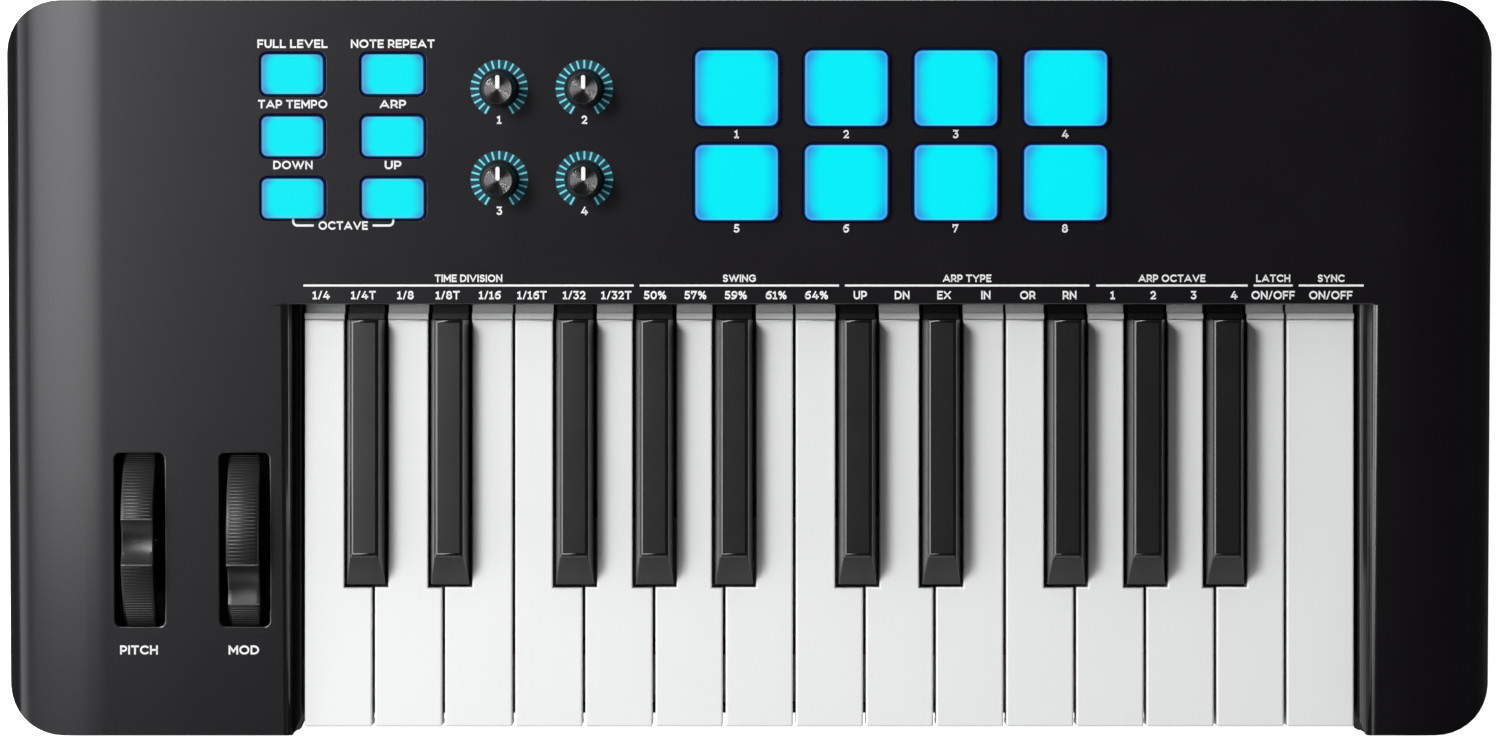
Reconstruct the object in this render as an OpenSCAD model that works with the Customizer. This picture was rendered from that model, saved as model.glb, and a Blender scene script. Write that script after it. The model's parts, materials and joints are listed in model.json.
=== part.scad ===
// Small keyboard controller: fifteen white and ten black keys, eight pads, six buttons,
// four knobs and two performance wheels in a two-part plastic case.
// Millimetres, +Z up, low keys towards -X, player at -Y, origin under the middle of the case.

/* [Keys] */
// Distance from one white key to the next
key_pitch = 23.5; // [22:0.1:28.5]
// Gap between neighbouring white keys
key_gap = 1; // [0.6:0.1:1.4]
// Length of a white key's playing surface
key_len = 136.2; // [125:0.1:165]
// Height of the white playing surface above the table
key_top_z = 42; // [40:0.5:52]
// Travel of a white key at its front edge
white_dip = 10; // [6:0.5:10.5]
// Travel of a black key at its front edge
black_dip = 8; // [6:0.5:8.5]
// Width of a black key at its base
black_w = 12.7; // [11:0.1:13.5]
// Width of a black key at its top
black_top_w = 9.4; // [8:0.1:10]
// Length of a black key
black_len = 88.5; // [80:0.5:100]
// Height of the black keys above the white ones
black_rise = 11.5; // [10.5:0.5:13]
// Depth of a white key's front face
key_lip_h = 18; // [16:0.5:19]
// Depth of the side skirts of every key
key_skirt_h = 14; // [13:0.5:15]
// Wall thickness of a key
key_wall = 1.8; // [1.4:0.1:2.4]

/* [Case] */
// Panel beyond the lowest key, to the left end of the case
left_end_w = 98.8; // [96:0.1:125]
// Panel beyond the highest key, to the right end of the case
right_end_w = 45.2; // [44:0.1:60]
// Depth of the control panel behind the keys
panel_d = 101; // [98:0.5:130]
// Height of the panel's front edge above the white keys
panel_rise = 13.7; // [12.5:0.1:18]
// Slope of the panel, falling towards the player
panel_slope = 3; // [1:0.5:4]
// Wall thickness of both case halves
wall = 2.5; // [2:0.1:3]
// Radius of the case's corners, seen from above
corner_r = 19; // [15:1:22]
// Radius of the large arc that rounds each end of the panel
crown_r = 90; // [70:1:110]
// Radius of the arc from there down into the end wall
edge_r = 12; // [9:0.5:14]
// Height of the joint between the case halves
split_z = 15; // [14:0.5:16]
// Distance that the white keys stand behind the front of the cheeks
key_inset = 2.7; // [2:0.1:4]
// Distance that the white keys overhang the case's front wall
key_overhang = 3.3; // [2.5:0.1:4]

/* [Pads] */
// Width of a pad
pad_w = 27.7; // [24:0.1:30]
// Depth of a pad
pad_d = 25.2; // [22:0.1:27]
// Distance between pads, left to right
pad_pitch_x = 36.4; // [34:0.1:40]
// Distance between pads, front to rear
pad_pitch_y = 31.3; // [31:0.1:34]
// Height of a pad above the panel
pad_rise = 3; // [2:0.1:4]
// Travel of a pad
pad_travel = 1; // [0.5:0.1:1]

/* [Buttons] */
// Width of a button
button_w = 20.7; // [18:0.1:24]
// Depth of a button
button_d = 13.4; // [11:0.1:15]
// Distance between the two columns of buttons
button_pitch_x = 33.3; // [30:0.1:36]
// Distance between the rows of buttons
button_pitch_y = 20.6; // [19:0.1:22]
// Height of a button above the panel
button_rise = 2.2; // [1.5:0.1:3]
// Travel of a button
button_travel = 1.2; // [0.5:0.1:1.2]

/* [Knobs] */
// Radius of a knob at its foot
knob_r = 6; // [5:0.1:6.5]
// Radius of a knob at its top
knob_top_r = 5; // [4.4:0.1:5.5]
// Height of a knob above the panel
knob_h = 14.5; // [13:0.5:18]
// Distance between knobs, left to right
knob_pitch_x = 28.3; // [26:0.1:32]
// Distance between knobs, front to rear
knob_pitch_y = 30.2; // [28:0.1:34]
// Radius of a knob's shaft
knob_shaft_r = 3; // [2.5:0.1:3.2]

/* [Wheels] */
// Radius of the pitch and modulation wheels
wheel_r = 33; // [30:0.5:34]
// Width of a wheel
wheel_w = 10.7; // [9:0.1:12.5]
// Height of a wheel's crown above the panel
wheel_rise = 12; // [10:0.5:14]
// Distance between the two wheels
wheel_pitch = 35; // [33:0.5:40]
// Width of a wheel's slot in the panel
slot_w = 16.6; // [15:0.1:18]
// Radius of a wheel's axle
axle_r = 2; // [1.5:0.1:2.5]
// Turn of the pitch wheel each way from its centre
pitch_turn = 30; // [20:1:35]
// Turn of the modulation wheel from its low stop
mod_turn = 54; // [40:1:60]

/* [Sockets] */
// Bore radius of the pedal socket
jack_r = 3.25; // [3.2:0.01:3.4]
// Width of the USB socket's shell
usb_w = 12; // [11.5:0.1:13]
// Height of the USB socket's shell
usb_h = 10.8; // [10.5:0.1:12]

/* [Hidden] */
$fn = 48;
eps = 0.01;

// Counts
white_n = 15;
black_n = 10;
octave = 7;
black_after = [0, 1, 3, 4, 5];                 // white key to the left of each black one
black_shift = [-2.4, 2.2, -3.0, 0.2, 3.3];     // its offset from the line between two white keys

// Clearances
run_gap = 0.05;      // round pieces that turn in a bore
press_gap = 0.02;    // round pieces that are held in a bore
slide_gap = 0.4;     // pieces that slide past each other
touch_gap = 0.2;     // a moving piece at rest on its stop
stop_gap = 0.3;      // a moving piece at the end of its travel
black_gap = 1;       // between a black key and the white ones beside it
cheek_gap = 0.6;     // between the end keys and the case

// Plan of the case
keys_w = white_n * key_pitch;
case_w = left_end_w + keys_w + right_end_w;
tail_show = 5.1;     // key tail in view between playing surface and panel
case_d = key_inset + key_len + tail_show + panel_d;
left_x = -case_w / 2;
front_y = -case_d / 2;
rear_y = case_d / 2;
keys_x0 = left_x + left_end_w;
keys_x1 = keys_x0 + keys_w;
key_front_y = front_y + key_inset;
play_end_y = key_front_y + key_len;
panel_edge_y = play_end_y + tail_show;
front_wall_y = key_front_y + key_overhang;

// Heights
foot_h = 3;
floor_z = foot_h + wall;
skirt_z = key_top_z - key_skirt_h;
lip_z = key_top_z - key_lip_h;
black_top_z = key_top_z + black_rise;
front_wall_z = skirt_z - white_dip - stop_gap;

// Well that the keys lie in
ledge_z = key_top_z + 1;     // top of the rim beside the end keys
ledge_w = 3.4;               // that rim's far edge, from the end keys
well_w = 4.8;                // panel's edge, from the end keys
well_lip_z = key_top_z + 2;  // underside of the panel's front lip

// Key action
pivot_r = 1.5;
pivot_y = play_end_y + 45.6;
tail_h = 8;
tail_z = skirt_z + 1;
pivot_z = tail_z + tail_h / 2;
tail_end_y = pivot_y + 14;
shoulder_l = 2.2;            // raised shoulder at the root of the tail
root_groove = 0.4;           // groove between the playing surface and the shoulder's ridge
neck_l = 12;
rib_t = 2;
slot_pitch = key_pitch * octave / 12;
tail_w = slot_pitch - rib_t - 2.6;
white_turn = asin(white_dip / (pivot_y - key_front_y));
black_front_y = play_end_y - black_len;
black_turn = asin(black_dip / (pivot_y - black_front_y));
key_cap_t = 2.5;             // thickness of the playing surface

// Frame under the keys
plate_t = 2.5;
plate_top = split_z - 0.5;
plate_z = plate_top - plate_t;
plate_inset = 2;
felt_t = 2;
felt_w = 6;
guide_l = 6;
white_guide_w = 5;
white_guide_y = key_front_y + 16;
white_felt_y = key_front_y + 26;
white_felt_z = skirt_z - sin(white_turn) * (pivot_y - white_felt_y + felt_w / 2) - stop_gap;
black_guide_y = black_front_y + 14;
black_felt_y = black_front_y + 25;
black_felt_z = skirt_z - sin(black_turn) * (pivot_y - black_felt_y + felt_w / 2) - stop_gap;
rest_felt_y = pivot_y + 11;
rest_felt_z = tail_z - touch_gap;
black_cavity_w = black_w - 4.3;
spring_r = 2.5;
spring_wire = 0.5;
spring_y = pivot_y - 12;

// Contact strip under the key tails
contact_y = pivot_y - 28;
contact_w = 19;
contact_z = tail_z - 7.5;
board_t = 1.6;
dome_r = 4;
dome_z = tail_z - sin(black_turn) * (pivot_y - contact_y + dome_r) - stop_gap;

// Controls on the panel, from its left end and rear edge
wheel_x = left_x + 44.9;
wheel_y = front_y + 65.5;
slot_l = 58;
button_x = left_x + 96.5;
button_y = rear_y - 24.6;
knob_x = left_x + 165.1;
knob_y = rear_y - 29.4;
pad_x = left_x + 244.0;
pad_y = rear_y - 29.2;
hole_gap = 0.5;              // between a pad or button and its opening
flange = 1.6;                // collar of a pad or button under the panel
pad_corner = 3;
button_corner = 2;
pad_foot = 6.5;              // underside of a pad below the panel's surface
button_foot = 5;
board_top = pad_foot + pad_travel + stop_gap;
switch_w = 6;
switch_seat = 0.02;          // solder gap between a switch and the board
switch_h = board_top - button_foot - button_travel - stop_gap - switch_seat;
pot_w = 10;
pot_top = wall + 0.4;
bush_r = knob_shaft_r + 0.5;
bush_top = 0.3;
knob_foot = 0.5;
knob_bore_z = knob_h - 3;

// Wheels and their bracket
wheel_depth = wheel_r - wheel_rise;
wheel_x_list = [wheel_x, wheel_x + wheel_pitch];
wheel_cover = acos((wheel_depth - wall) / wheel_r) + 4;
scoop_r = 9.5;
scoop_depth = 4.5;
wheel_rim = 5;
web_t = 4;
hub_r = 6;
hub_gap = 1;
bracket_t = 3;
bracket_in = wheel_w / 2 + hub_gap;
axle_l = bracket_in + bracket_t + 3;
wheel_pot_r = 8;
wheel_pot_t = 6;
axle_z = panel_z(wheel_y) - wheel_depth * cos(panel_slope);
axle_y = wheel_y + wheel_depth * sin(panel_slope);

// Sockets in the rear wall
io_z = 18;
io_x = [case_w / 2 - 118, case_w / 2 - 48];
io_l = 34;
usb_x = io_x[0] + 18;
usb_l = 16;
usb_skin = 0.6;
jack_x = io_x[1] - 16;
jack_body = [14, 28, 14];
jack_z = io_z + board_t + jack_body[2] / 2;
jack_bush_r = 5;
port_set = 0.5;              // sockets end this far inside the rear face

// Screws, feet and their bosses
screw_r = 1.5;
screw_head_r = 2.8;
screw_head_h = 2;
boss_r = 4.2;
screw_x = case_w / 2 - 20;
screw_y = case_d / 2 - 24;
mid_x = case_w / 2 - 168;
mid_y = rear_y - 8.5;
case_screw_at = [[-screw_x, -screw_y], [screw_x, -screw_y], [-screw_x, screw_y],
                 [screw_x, screw_y], [-mid_x, mid_y], [mid_x, mid_y]];
case_seat_z = foot_h + 5;
case_screw_l = 17;
frame_seat_z = foot_h + 3.5;
frame_boss_z = 9;
frame_screw_at = [for (x = [keys_x0 + 30, (keys_x0 + keys_x1) / 2, keys_x1 - 30],
                       y = [key_front_y + 50, key_front_y + 140]) [x, y]];
board_screw_r = 1.25;
board_head_r = 2.2;
board_head_h = 1.4;
board_boss_r = 3;
board_edge = 4;              // from a board screw to the board's edge
button_mid_x = button_x + button_pitch_x / 2;
knob_pad_mid_x = (knob_x + knob_pitch_x + knob_r + pad_x - pad_w / 2) / 2;
pad_end_x = pad_x + 3 * pad_pitch_x + pad_w / 2 + flange + board_boss_r + 1;
board_x = [button_x - button_w / 2 - 6, pad_end_x + board_edge];
board_y = [pad_y - pad_pitch_y - pad_d / 2 - 6, rear_y - 15];
board_screw_at = [for (x = [button_mid_x, knob_pad_mid_x, pad_end_x],
                       y = [board_y[0] + board_edge, board_y[1] - board_edge]) [x, y]];
io_screw_at = [for (x = [io_x[0] + 4.5, io_x[1] - 4.5]) [x, rear_y - io_l]];
foot_r = 8;
foot_at = [for (x = [-case_w / 2 + 32, 0, case_w / 2 - 32], y = [front_y + 28, rear_y - 28]) [x, y]];
foot_seat = 0.5;

// ---------- shared geometry ----------

// Height of the panel's surface at y
function panel_z(y) = key_top_z + panel_rise + (y - panel_edge_y) * tan(panel_slope);

// Points along an arc about c, leaving out the first `skip` of them
function arc(c, r, a0, a1, n, skip = 0) =
    [for (i = [skip : n]) let (a = a0 + (a1 - a0) * i / n) c + r * [cos(a), sin(a)]];

// Rectangle with round corners, centred
function round_rect(w, d, r, n = 8) = concat(
    arc([w / 2 - r, d / 2 - r], r, 0, 90, n), arc([r - w / 2, d / 2 - r], r, 90, 180, n),
    arc([r - w / 2, r - d / 2], r, 180, 270, n), arc([w / 2 - r, r - d / 2], r, 270, 360, n));

// Children stand on the panel at x, y, with +Z along its normal
module on_panel(x, y) translate([x, y, panel_z(y)]) rotate([panel_slope, 0, 0]) children();

// Upright block between two corners
module block(a, b) translate(a) cube(b - a);

// Cylinder along +X that starts at x0
module bar(x0, x1, y, z, r) translate([x0, y, z]) rotate([0, 90, 0]) cylinder(r = r, h = x1 - x0);

// ---------- keys ----------

// A white key's place in its octave, and the black key (0 to 4) at its upper side, or -1
function black_index(boundary) =
    boundary < 1 || boundary >= white_n ? -1 :
    let (hit = search((boundary - 1) % octave, black_after)) len(hit) == 0 ? -1 : hit[0];
function boundary_x(b) = keys_x0 + b * key_pitch;
function black_x(b) = boundary_x(b) + black_shift[black_index(b)];
function black_boundary(j) = floor(j / 5) * octave + black_after[j % 5] + 1;

// Sides of a white key in front of and beside the black keys
function white_x0(i) = boundary_x(i) + key_gap / 2;
function white_x1(i) = boundary_x(i + 1) - key_gap / 2;
notch_half = black_w / 2 + black_gap;
function neck_x0(i) = black_index(i) < 0 ? white_x0(i) : black_x(i) + notch_half;
function neck_x1(i) = black_index(i + 1) < 0 ? white_x1(i) : black_x(i + 1) - notch_half;

// Middle of a key's tail; the highest key's sits as on every other C
last_neck = key_pitch + black_shift[0] - notch_half - key_gap / 2;
function white_tail_x(i) = i == white_n - 1 ? white_x0(i) + last_neck / 2 : (neck_x0(i) + neck_x1(i)) / 2;
function black_tail_x(j) = black_x(black_boundary(j));
tail_x_list = [for (i = [0 : white_n - 1]) each
    black_index(i + 1) < 0 ? [white_tail_x(i)] : [white_tail_x(i), black_x(i + 1)]];

// Outline of a white key, drawn in by `inset`
function white_outline(i, inset) = let (
    x0 = white_x0(i) + inset, x1 = white_x1(i) - inset,
    n0 = neck_x0(i) + inset, n1 = neck_x1(i) - inset,
    y0 = key_front_y + inset, y1 = play_end_y - inset,
    step = black_front_y - black_gap - inset)
    concat([[x0, y0], [x1, y0]],
           n1 < x1 ? [[x1, step], [n1, step]] : [],
           [[n1, y1], [n0, y1]],
           n0 > x0 ? [[n0, step], [x0, step]] : []);

// Bore for the pivot rod through a key's tail
module pivot_bore(x) bar(x - key_pitch, x + key_pitch, pivot_y, pivot_z, pivot_r + run_gap);

module key_tail(x) {
    block([x - tail_w / 2, play_end_y + neck_l - eps, tail_z], [x + tail_w / 2, tail_end_y, tail_z + tail_h]);
}

// Ridge on the shoulder, which a groove sets off from the playing surface
module root_ridge(x0, x1) {
    block([x0, play_end_y + root_groove, key_top_z - key_cap_t - 1], [x1, play_end_y + shoulder_l, key_top_z - 0.2]);
}

module white_key(i) {
    mid = (white_x0(i) + white_x1(i)) / 2;
    color("whitesmoke") difference() {
        union() {
            difference() {
                translate([0, 0, skirt_z]) linear_extrude(height = key_skirt_h) polygon(white_outline(i, 0));
                translate([0, 0, skirt_z - 1]) linear_extrude(height = key_skirt_h - key_cap_t + 1)
                    polygon(white_outline(i, key_wall));
            }
            block([white_x0(i), key_front_y, lip_z], [white_x1(i), key_front_y + key_wall, skirt_z]);
            for (s = [-1, 1]) {
                face = mid + s * (white_guide_w / 2 + slide_gap + 0.6);
                block([face - 0.6, white_guide_y - guide_l / 2, skirt_z],
                      [face + 0.6, white_guide_y + guide_l / 2, key_top_z - key_cap_t]);
            }
            block([neck_x0(i), play_end_y - eps, tail_z],
                  [neck_x1(i), play_end_y + shoulder_l, key_top_z - key_cap_t]);
            block([neck_x0(i), play_end_y, tail_z], [neck_x1(i), play_end_y + neck_l, tail_z + tail_h]);
            root_ridge(neck_x0(i), neck_x1(i));
            key_tail(white_tail_x(i));
        }
        pivot_bore(white_tail_x(i));
    }
}

module black_key(j) {
    x = black_tail_x(j);
    band_z = key_top_z + 1;                  // top of the upright band round the foot
    color("#1c1b1e") difference() {
        union() {
            intersection() {
                translate([x - black_w / 2, 0, 0]) rotate([90, 0, 90]) linear_extrude(height = black_w)
                    polygon([[black_front_y, skirt_z], [black_front_y, band_z], [black_front_y + 2.3, band_z + 2],
                             [black_front_y + 9.7, black_top_z], [play_end_y, black_top_z], [play_end_y, skirt_z]]);
                translate([x, play_end_y + 1, 0]) rotate([90, 0, 0]) linear_extrude(height = black_len + 2)
                    polygon([[-black_w / 2, skirt_z], [black_w / 2, skirt_z], [black_w / 2, band_z],
                             [black_top_w / 2, black_top_z], [-black_top_w / 2, black_top_z], [-black_w / 2, band_z]]);
            }
            block([x - black_w / 2 + 0.4, play_end_y - eps, tail_z],
                  [x + black_w / 2 - 0.4, play_end_y + shoulder_l, key_top_z - key_cap_t]);
            block([x - black_w / 2 + 0.4, play_end_y, tail_z],
                  [x + black_w / 2 - 0.4, play_end_y + neck_l, tail_z + tail_h]);
            root_ridge(x - black_w / 2 + 0.4, x + black_w / 2 - 0.4);
            key_tail(x);
        }
        block([x - black_cavity_w / 2, black_front_y + 4, skirt_z - 1],
              [x + black_cavity_w / 2, play_end_y - key_wall, band_z + 2]);
        pivot_bore(x);
    }
}

// ---------- case ----------

// Cross-section of the case from end to end, with the panel's surface at 0
function end_half(inset) = concat(
    [[case_w / 2 - inset, -3 * key_top_z]],
    arc([case_w / 2 - edge_r, roll_z], edge_r - inset, 0, 90 - roll_a, 8),
    arc([roll_x, -crown_r], crown_r - inset, 90 - roll_a, 90, 8, 1));
roll_a = 16;                                 // direction in which the two arcs meet
roll_x = case_w / 2 - edge_r - (crown_r - edge_r) * sin(roll_a);
roll_z = (crown_r - edge_r) * cos(roll_a) - crown_r;
function mirrored(pts) = [for (i = [len(pts) - 1 : -1 : 0]) [-pts[i][0], pts[i][1]]];

module along_panel()
    translate([0, 0, panel_z(0)]) rotate([90 + panel_slope, 0, 0])
        linear_extrude(height = 2 * case_d, center = true) children();

// The case's outer form above z0, drawn in by `inset`
module case_form(inset, z0) intersection() {
    translate([0, 0, z0]) linear_extrude(height = 3 * key_top_z)
        polygon(round_rect(case_w - 2 * inset, case_d - 2 * inset, corner_r - inset, 10));
    along_panel() polygon(concat(end_half(inset), mirrored(end_half(inset))));
}

// Front recess between the cheeks, with slanted corners; `out` widens it
module front_recess(out) polygon([
    [keys_x0 - ledge_w - out, front_y - 1], [keys_x0 - ledge_w - out, front_y],
    [keys_x0 - cheek_gap - out, front_wall_y + out], [keys_x1 + cheek_gap + out, front_wall_y + out],
    [keys_x1 + ledge_w + out, front_y], [keys_x1 + ledge_w + out, front_y - 1]]);

// Face of the well beside the keys, from its foot up past the panel; s is the side, `out` goes into the case
function well_face(s, edge, out) = [
    [edge + s * (cheek_gap + out), split_z - 1], [edge + s * (cheek_gap + out), ledge_z - out],
    [edge + s * (ledge_w + out), ledge_z - out], [edge + s * (well_w + out), panel_z(rear_y) + 5]];
function reversed(pts) = [for (i = [len(pts) - 1 : -1 : 0]) pts[i]];

// Prism along Y from y0 to y1 over points in X and Z
module along_y(y0, y1) translate([0, y1, 0]) rotate([90, 0, 0]) linear_extrude(height = y1 - y0) children();

// Space that the keys lie in
module key_well() {
    along_y(front_y - 1, panel_edge_y)
        polygon(concat(well_face(-1, keys_x0, 0), reversed(well_face(1, keys_x1, 0))));
}

// Walls of that space: one beside each end key and the panel's front lip
module well_walls() intersection() {
    case_form(0, split_z);
    union() {
        for (side = [[-1, keys_x0], [1, keys_x1]])
            along_y(front_y, panel_edge_y + wall)
                polygon(concat(well_face(side[0], side[1], 0), reversed(well_face(side[0], side[1], wall))));
        block([keys_x0 - well_w, panel_edge_y, well_lip_z], [keys_x1 + well_w, panel_edge_y + wall, 2 * key_top_z]);
    }
}

// Opening through the panel with round corners
module panel_opening(x, y, w, d, r)
    on_panel(x, y) translate([0, 0, -3 * wall]) linear_extrude(height = 6 * wall) polygon(round_rect(w, d, r));

module panel_openings() {
    for (i = [0 : 7])
        panel_opening(pad_at(i)[0], pad_at(i)[1], pad_w + 2 * hole_gap, pad_d + 2 * hole_gap, pad_corner + hole_gap);
    for (i = [0 : 5])
        panel_opening(button_at(i)[0], button_at(i)[1], button_w + 2 * hole_gap, button_d + 2 * hole_gap,
                      button_corner + hole_gap);
    for (x = wheel_x_list) panel_opening(x, wheel_y, slot_w, slot_l, 2);
    for (i = [0 : 3]) on_panel(knob_at(i)[0], knob_at(i)[1])
        translate([0, 0, -2 * wall]) cylinder(r = bush_r + 0.3, h = 4 * wall);
}

// Openings for the two sockets in the rear wall
module rear_openings() {
    block([usb_x - usb_w / 2 - 0.3, rear_y - 3 * wall, io_z + board_t - 0.3],
          [usb_x + usb_w / 2 + 0.3, rear_y + 1, io_z + board_t + usb_h + 0.3]);
    translate([jack_x, rear_y + 1, jack_z]) rotate([90, 0, 0]) cylinder(r = jack_bush_r + 0.2, h = 3 * wall);
}

module top_case() {
    color("#262528") difference() {
        union() {
            difference() {
                case_form(0, split_z);
                case_form(wall, split_z - 1);
                key_well();
                block([keys_x0 - well_w, front_y - 1, split_z - 1], [keys_x1 + well_w, front_wall_y, ledge_z]);
                panel_openings();
            }
            well_walls();
            intersection() {
                case_form(wall / 2, split_z);
                for (p = case_screw_at) translate([p[0], p[1], 0]) cylinder(r = boss_r, h = 2 * key_top_z);
            }
            for (p = board_screw_at) on_panel(p[0], p[1])
                translate([0, 0, -board_top]) cylinder(r = board_boss_r, h = board_top - wall / 2);
        }
        translate([0, 0, split_z - 1]) linear_extrude(height = 2 * key_top_z) front_recess(0);
        for (p = case_screw_at) translate([p[0], p[1], split_z - 1])
            cylinder(r = screw_r + press_gap, h = case_screw_l - split_z + case_seat_z + 2);
        for (p = board_screw_at) on_panel(p[0], p[1])
            translate([0, 0, -board_top - 1]) cylinder(r = board_screw_r + press_gap, h = board_top - wall + 1);
        rear_openings();
    }
}

module bottom_case() {
    color("#201f22") difference() {
        union() {
            difference() {
                translate([0, 0, foot_h]) linear_extrude(height = split_z - foot_h) difference() {
                    polygon(round_rect(case_w, case_d, corner_r, 10));
                    front_recess(0);
                }
                translate([0, 0, floor_z]) linear_extrude(height = split_z) difference() {
                    polygon(round_rect(case_w - 2 * wall, case_d - 2 * wall, corner_r - wall, 10));
                    front_recess(wall);
                }
            }
            block([keys_x0 - cheek_gap / 2, front_wall_y, split_z - eps],
                  [keys_x1 + cheek_gap / 2, front_wall_y + wall, front_wall_z]);
            for (p = case_screw_at) translate([p[0], p[1], floor_z - eps])
                cylinder(r = boss_r, h = split_z - floor_z + eps);
            for (p = frame_screw_at) translate([p[0], p[1], floor_z - eps])
                cylinder(r = boss_r + 0.6, h = frame_boss_z - floor_z + eps);
            for (p = io_screw_at) translate([p[0], p[1], floor_z - eps])
                cylinder(r = board_boss_r, h = io_z - floor_z + eps);
        }
        for (p = case_screw_at) translate([p[0], p[1], foot_h - 1]) {
            cylinder(r = screw_head_r + 0.3, h = case_seat_z - foot_h + 1);
            cylinder(r = screw_r + 0.1, h = split_z);
        }
        for (p = frame_screw_at) translate([p[0], p[1], foot_h - 1]) {
            cylinder(r = screw_head_r + 0.3, h = frame_seat_z - foot_h + 1);
            cylinder(r = screw_r + 0.1, h = frame_boss_z);
        }
        for (p = io_screw_at) translate([p[0], p[1], io_z - 8]) cylinder(r = board_screw_r + press_gap, h = 9);
        for (p = foot_at) translate([p[0], p[1], foot_h - 1]) cylinder(r = foot_r + 0.1, h = foot_seat + 1);
    }
}

module rubber_feet() {
    color("#3a3a3a") for (p = foot_at) translate([p[0], p[1], 0]) cylinder(r = foot_r, h = foot_h + foot_seat);
}

// Screw with its head down, seated at the origin
module screw(r, head_r, head_h, l) {
    translate([0, 0, -head_h / 2]) cylinder(r = r, h = l + head_h / 2);
    translate([0, 0, -head_h]) cylinder(r = head_r, h = head_h);
}

module case_screws() {
    color("silver") {
        for (p = case_screw_at) translate([p[0], p[1], case_seat_z])
            screw(screw_r, screw_head_r, screw_head_h, case_screw_l);
        for (p = frame_screw_at) translate([p[0], p[1], frame_seat_z])
            screw(screw_r, screw_head_r, screw_head_h, plate_top - frame_seat_z - 0.5);
        for (p = board_screw_at) on_panel(p[0], p[1]) translate([0, 0, -board_top - board_t])
            screw(board_screw_r, board_head_r, board_head_h, board_t + 4);
        for (p = io_screw_at) translate([p[0], p[1], io_z + board_t]) mirror([0, 0, 1])
            screw(board_screw_r, board_head_r, board_head_h, board_t + 6);
    }
}

// ---------- key action ----------

// Middle between neighbouring tails, and the places outside the first and the last
tail_n = len(tail_x_list);
rib_x_list = concat([tail_x_list[0] - slot_pitch / 2],
    [for (i = [1 : tail_n - 1]) (tail_x_list[i - 1] + tail_x_list[i]) / 2],
    [tail_x_list[tail_n - 1] + slot_pitch / 2]);

module key_frame() {
    x0 = keys_x0 + plate_inset;
    x1 = keys_x1 - plate_inset;
    color("#d9d4c7") difference() {
        union() {
            block([rib_x_list[0] - rib_t / 2, front_wall_y + wall + 1, plate_z], [x1, rest_felt_y + felt_w, plate_top]);
            block([x0, white_felt_y - felt_w / 2, plate_top - eps],
                  [x1, white_felt_y + felt_w / 2, white_felt_z - felt_t]);
            block([x0, black_felt_y - felt_w / 2, plate_top - eps],
                  [x1, black_felt_y + felt_w / 2, black_felt_z - felt_t]);
            block([x0, rest_felt_y - felt_w / 2, plate_top - eps],
                  [x1, rest_felt_y + felt_w / 2, rest_felt_z - felt_t]);
            for (y = [contact_y - contact_w / 2, contact_y + contact_w / 2 - rib_t])
                block([x0, y, plate_top - eps], [x1, y + rib_t, contact_z]);
            for (x = rib_x_list)
                block([x - rib_t / 2, pivot_y - 5, plate_top - eps],
                      [x + rib_t / 2, pivot_y + 5, pivot_z + 5]);
            for (i = [0 : white_n - 1])
                block([(white_x0(i) + white_x1(i) - white_guide_w) / 2, white_guide_y - guide_l / 2, plate_top - eps],
                      [(white_x0(i) + white_x1(i) + white_guide_w) / 2, white_guide_y + guide_l / 2, skirt_z + 1]);
            for (j = [0 : black_n - 1])
                block([black_tail_x(j) - black_cavity_w / 2 + slide_gap, black_guide_y - guide_l / 2, plate_top - eps],
                      [black_tail_x(j) + black_cavity_w / 2 - slide_gap, black_guide_y + guide_l / 2, skirt_z + 6]);
            for (p = frame_screw_at) translate([p[0], p[1], frame_boss_z])
                cylinder(r = boss_r + 0.6, h = plate_z - frame_boss_z + eps);
        }
        bar(rib_x_list[0] - rib_t, rib_x_list[tail_n] + rib_t, pivot_y, pivot_z, pivot_r + run_gap);
        for (p = frame_screw_at) translate([p[0], p[1], frame_boss_z - 1])
            cylinder(r = screw_r + press_gap, h = plate_top - frame_boss_z + 2);
    }
}

module key_pivot_rod() {
    color("silver") bar(rib_x_list[0] - rib_t / 2, rib_x_list[tail_n] + rib_t / 2, pivot_y, pivot_z, pivot_r);
}

// One coil spring under each key's tail, and the pitch wheel's centring coil round its axle
module return_springs() {
    color("lightgray") {
        for (x = tail_x_list) translate([x, spring_y, plate_top]) difference() {
            cylinder(r = spring_r, h = tail_z - plate_top - touch_gap);
            translate([0, 0, -1]) cylinder(r = spring_r - spring_wire, h = tail_z);
        }
        difference() {
            bar(wheel_x + web_t / 2 + 0.3, wheel_x + bracket_in - 0.3, axle_y, axle_z, hub_r + 1.2);
            bar(wheel_x, wheel_x + bracket_in, axle_y, axle_z, hub_r + 0.4);
        }
    }
}

module key_felts() {
    x0 = keys_x0 + plate_inset;
    x1 = keys_x1 - plate_inset;
    color("#8c2f2f")
        for (f = [[white_felt_y, white_felt_z], [black_felt_y, black_felt_z], [rest_felt_y, rest_felt_z]])
            block([x0, f[0] - felt_w / 2, f[1] - felt_t], [x1, f[0] + felt_w / 2, f[1]]);
}

module contact_board() {
    color("#1f5c3a")
        block([keys_x0 + plate_inset, contact_y - contact_w / 2, contact_z],
              [keys_x1 - plate_inset, contact_y + contact_w / 2, contact_z + board_t]);
}

module contact_rubber() {
    base = contact_z + board_t;
    color("#9a9a98") {
        block([keys_x0 + plate_inset + 1, contact_y - dome_r - 2, base], [keys_x1 - plate_inset - 1, contact_y + dome_r + 2, base + 1]);
        for (x = tail_x_list) translate([x, contact_y, base + 1 - eps])
            cylinder(r1 = dome_r, r2 = dome_r - 1, h = dome_z - base - 1 + eps);
    }
}

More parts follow.
